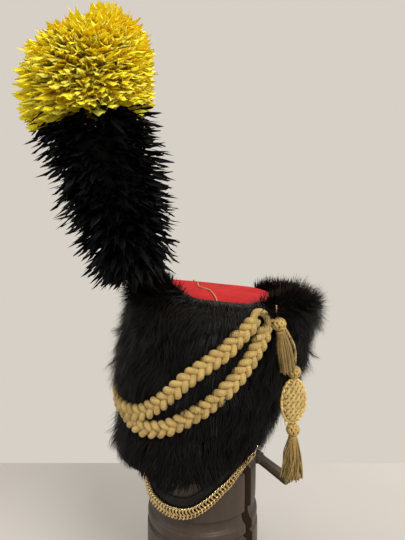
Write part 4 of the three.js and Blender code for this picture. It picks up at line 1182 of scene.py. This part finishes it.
def chain_station(share):
    at = share * (len(CHAIN_CURVE) - 1)
    i = min(int(at), len(CHAIN_CURVE) - 2)
    u = at - i
    middle = CHAIN_CURVE[i] * (1 - u) + CHAIN_CURVE[i + 1] * u
    along = unit(CHAIN_ALONG[i] * (1 - u) + CHAIN_ALONG[i + 1] * u)
    out = middle * (1, 1, 0) / np.linalg.norm(middle[:2])
    out = unit(out - along * (out @ along))
    return middle, along, out, np.cross(along, out)


def swell(share):
    """How far the chain and the strap have grown, from 0 at their ends to 1 in the middle."""
    return math.sin(math.pi * share) ** .8 if 0 < share < 1 else 0.0


def chain():
    """Flat twisted links, each through the next, larger towards the middle."""
    form = Form()
    count = round(CHAIN_LENGTH / CHAIN_PITCH)
    turn = np.linspace(0, 2 * np.pi, 25)[:-1]
    slant = math.radians(LINK_SLANT)
    for i in range(count):
        share = (i + .5) / count
        middle, along, out, across = chain_station(share)
        size = CHAIN_END_SHARE + (1 - CHAIN_END_SHARE) * swell(share)
        wire = CHAIN_WIRE * (.5 + .42 * swell(share))
        y = (CHAIN_WIDTH / 2 * size * LINK_HALF_WIDTH - wire) * np.sin(turn)
        x = CHAIN_PITCH * LINK_REACH * np.cos(turn) + y * math.sin(slant) * .6
        z = wire * 1.15 * np.sin(2 * turn) + wire * .35 * np.cos(turn)
        points = middle + along * x[:, None] + across * (y * math.cos(slant) * 1.14)[:, None] + out * z[:, None]
        form.loop(points, wire, 7, tint=rng.uniform(0, .15))
    form.make("chin_links", BRASS, "brass", ["chin_chain_left", "chin_chain_centre", "chin_chain_right"])


def strap():
    """The band behind the chain, with rounded edges."""
    behind = CHAIN_WIRE * 1.5 + 2.5 * GAP + STRAP_THICKNESS / 2
    turn = (np.arange(22) + .5) / 22 * 2 * np.pi
    c, s = np.cos(turn), np.sin(turn)
    c, s = np.copysign(np.abs(c) ** .35, c)[:, None], np.copysign(np.abs(s) ** .55, s)[:, None]
    rings = []
    for share in np.arange(STRAP_STEPS + 1) / STRAP_STEPS:
        middle, _, out, across = chain_station(share)
        wide = STRAP_WIDTH * (STRAP_END_SHARE + (1 - STRAP_END_SHARE) * swell(share))
        above = 1 if across[2] > 0 else -1
        middle = middle + across * above * CHAIN_BELOW_STRAP * swell(share) - out * behind
        rings.append(middle + across * c * wide / 2 + out * s * STRAP_THICKNESS / 2)
    form = Form().skin(np.array(rings), np.tile(np.abs(c[:, 0]) ** 6, (len(rings), 1)))
    form.make("strap_band", leather_look(), "strap_leather", ["chin_strap"])


# Making the pieces

WOOD = wood_look()
stand_column()
stand_handle()
upper_way, upper_length = plait("plait_upper", UPPER_LINE, ["cap_line_upper"])
lower_way, lower_length = plait("plait_lower", LOWER_LINE, ["cap_line_lower"])
line_loop()
wires()
tassel_way = tassel()
fur_shell()
fur_coat(fur_look(), np.vstack([upper_way[::6], lower_way[::6], tassel_way]))
piping(bag())
black_plume()
yellow_plume()
chain()
strap()
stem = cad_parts["plume_stem"]
stem.data.materials.clear()
stem.data.materials.append(BRASS)
print("cap lines, mm:", round(upper_length), round(lower_length), "chain", round(CHAIN_LENGTH))


# The room

def stage():
    look = Look("table", (.5, .48, .455), .6, Specular_IOR_Level=.3)
    look.paint(look.ramp(look.noise(3, 2), (.3, (.49, .47, .445)), (.7, (.53, .51, .485))))
    table = box("table", (-1800, -1500, -30), (1800, 303, 0), math.radians(CAMERA_HEADING))
    table.data.materials.append(look.material)
    edge = table.modifiers.new("edge", "BEVEL")
    edge.width = .006
    edge.segments = 4


def lamp(name, place, aim, size, power, colour):
    light = bpy.data.lights.new(name, "AREA")
    light.shape = "DISK"
    light.size = size
    light.energy = power
    light.color = colour
    made = thing(name, light)
    made.location = place
    made.rotation_mode = "QUATERNION"
    made.rotation_quaternion = (Vector(aim) - Vector(place)).to_track_quat("-Z", "Y")


def light_room():
    world = bpy.context.scene.world or bpy.data.worlds.new("room")
    bpy.context.scene.world = world
    bpy.context.scene.view_settings.view_transform = "Standard"
    world.use_nodes = True
    ground = world.node_tree.nodes["Background"]
    ground.inputs[0].default_value = (.68, .63, .565, 1)
    ground.inputs[1].default_value = 1.0
    lamp("key", (1.5, -.2, 1.9), (0, -.05, .4), 1.1, 38, (1, .97, .93))
    lamp("fill", (-1.0, -1.6, 1.2), (0, 0, .4), 1.6, 12, (.95, .97, 1))
    lamp("back", (-.6, 1.7, 1.6), (0, 0, .45), 1.2, 14, (1, .98, .95))


def camera():
    """A camera fitted to the photo's outlines. Its focal length is in pixels of the photo."""
    lens = bpy.data.cameras.new("camera")
    lens.sensor_width = 36
    lens.lens = FOCAL_PIXELS / PHOTO_HEIGHT * lens.sensor_width
    eye = thing("camera", lens)
    heading = math.radians(CAMERA_HEADING)
    eye.location = np.array([CAMERA_REACH * math.sin(heading), -CAMERA_REACH * math.cos(heading), CAMERA_HEIGHT]) * MM
    eye.rotation_euler = (math.radians(90 - CAMERA_DIP), 0, heading)
    bpy.context.scene.camera = eye


stage()
light_room()
camera()
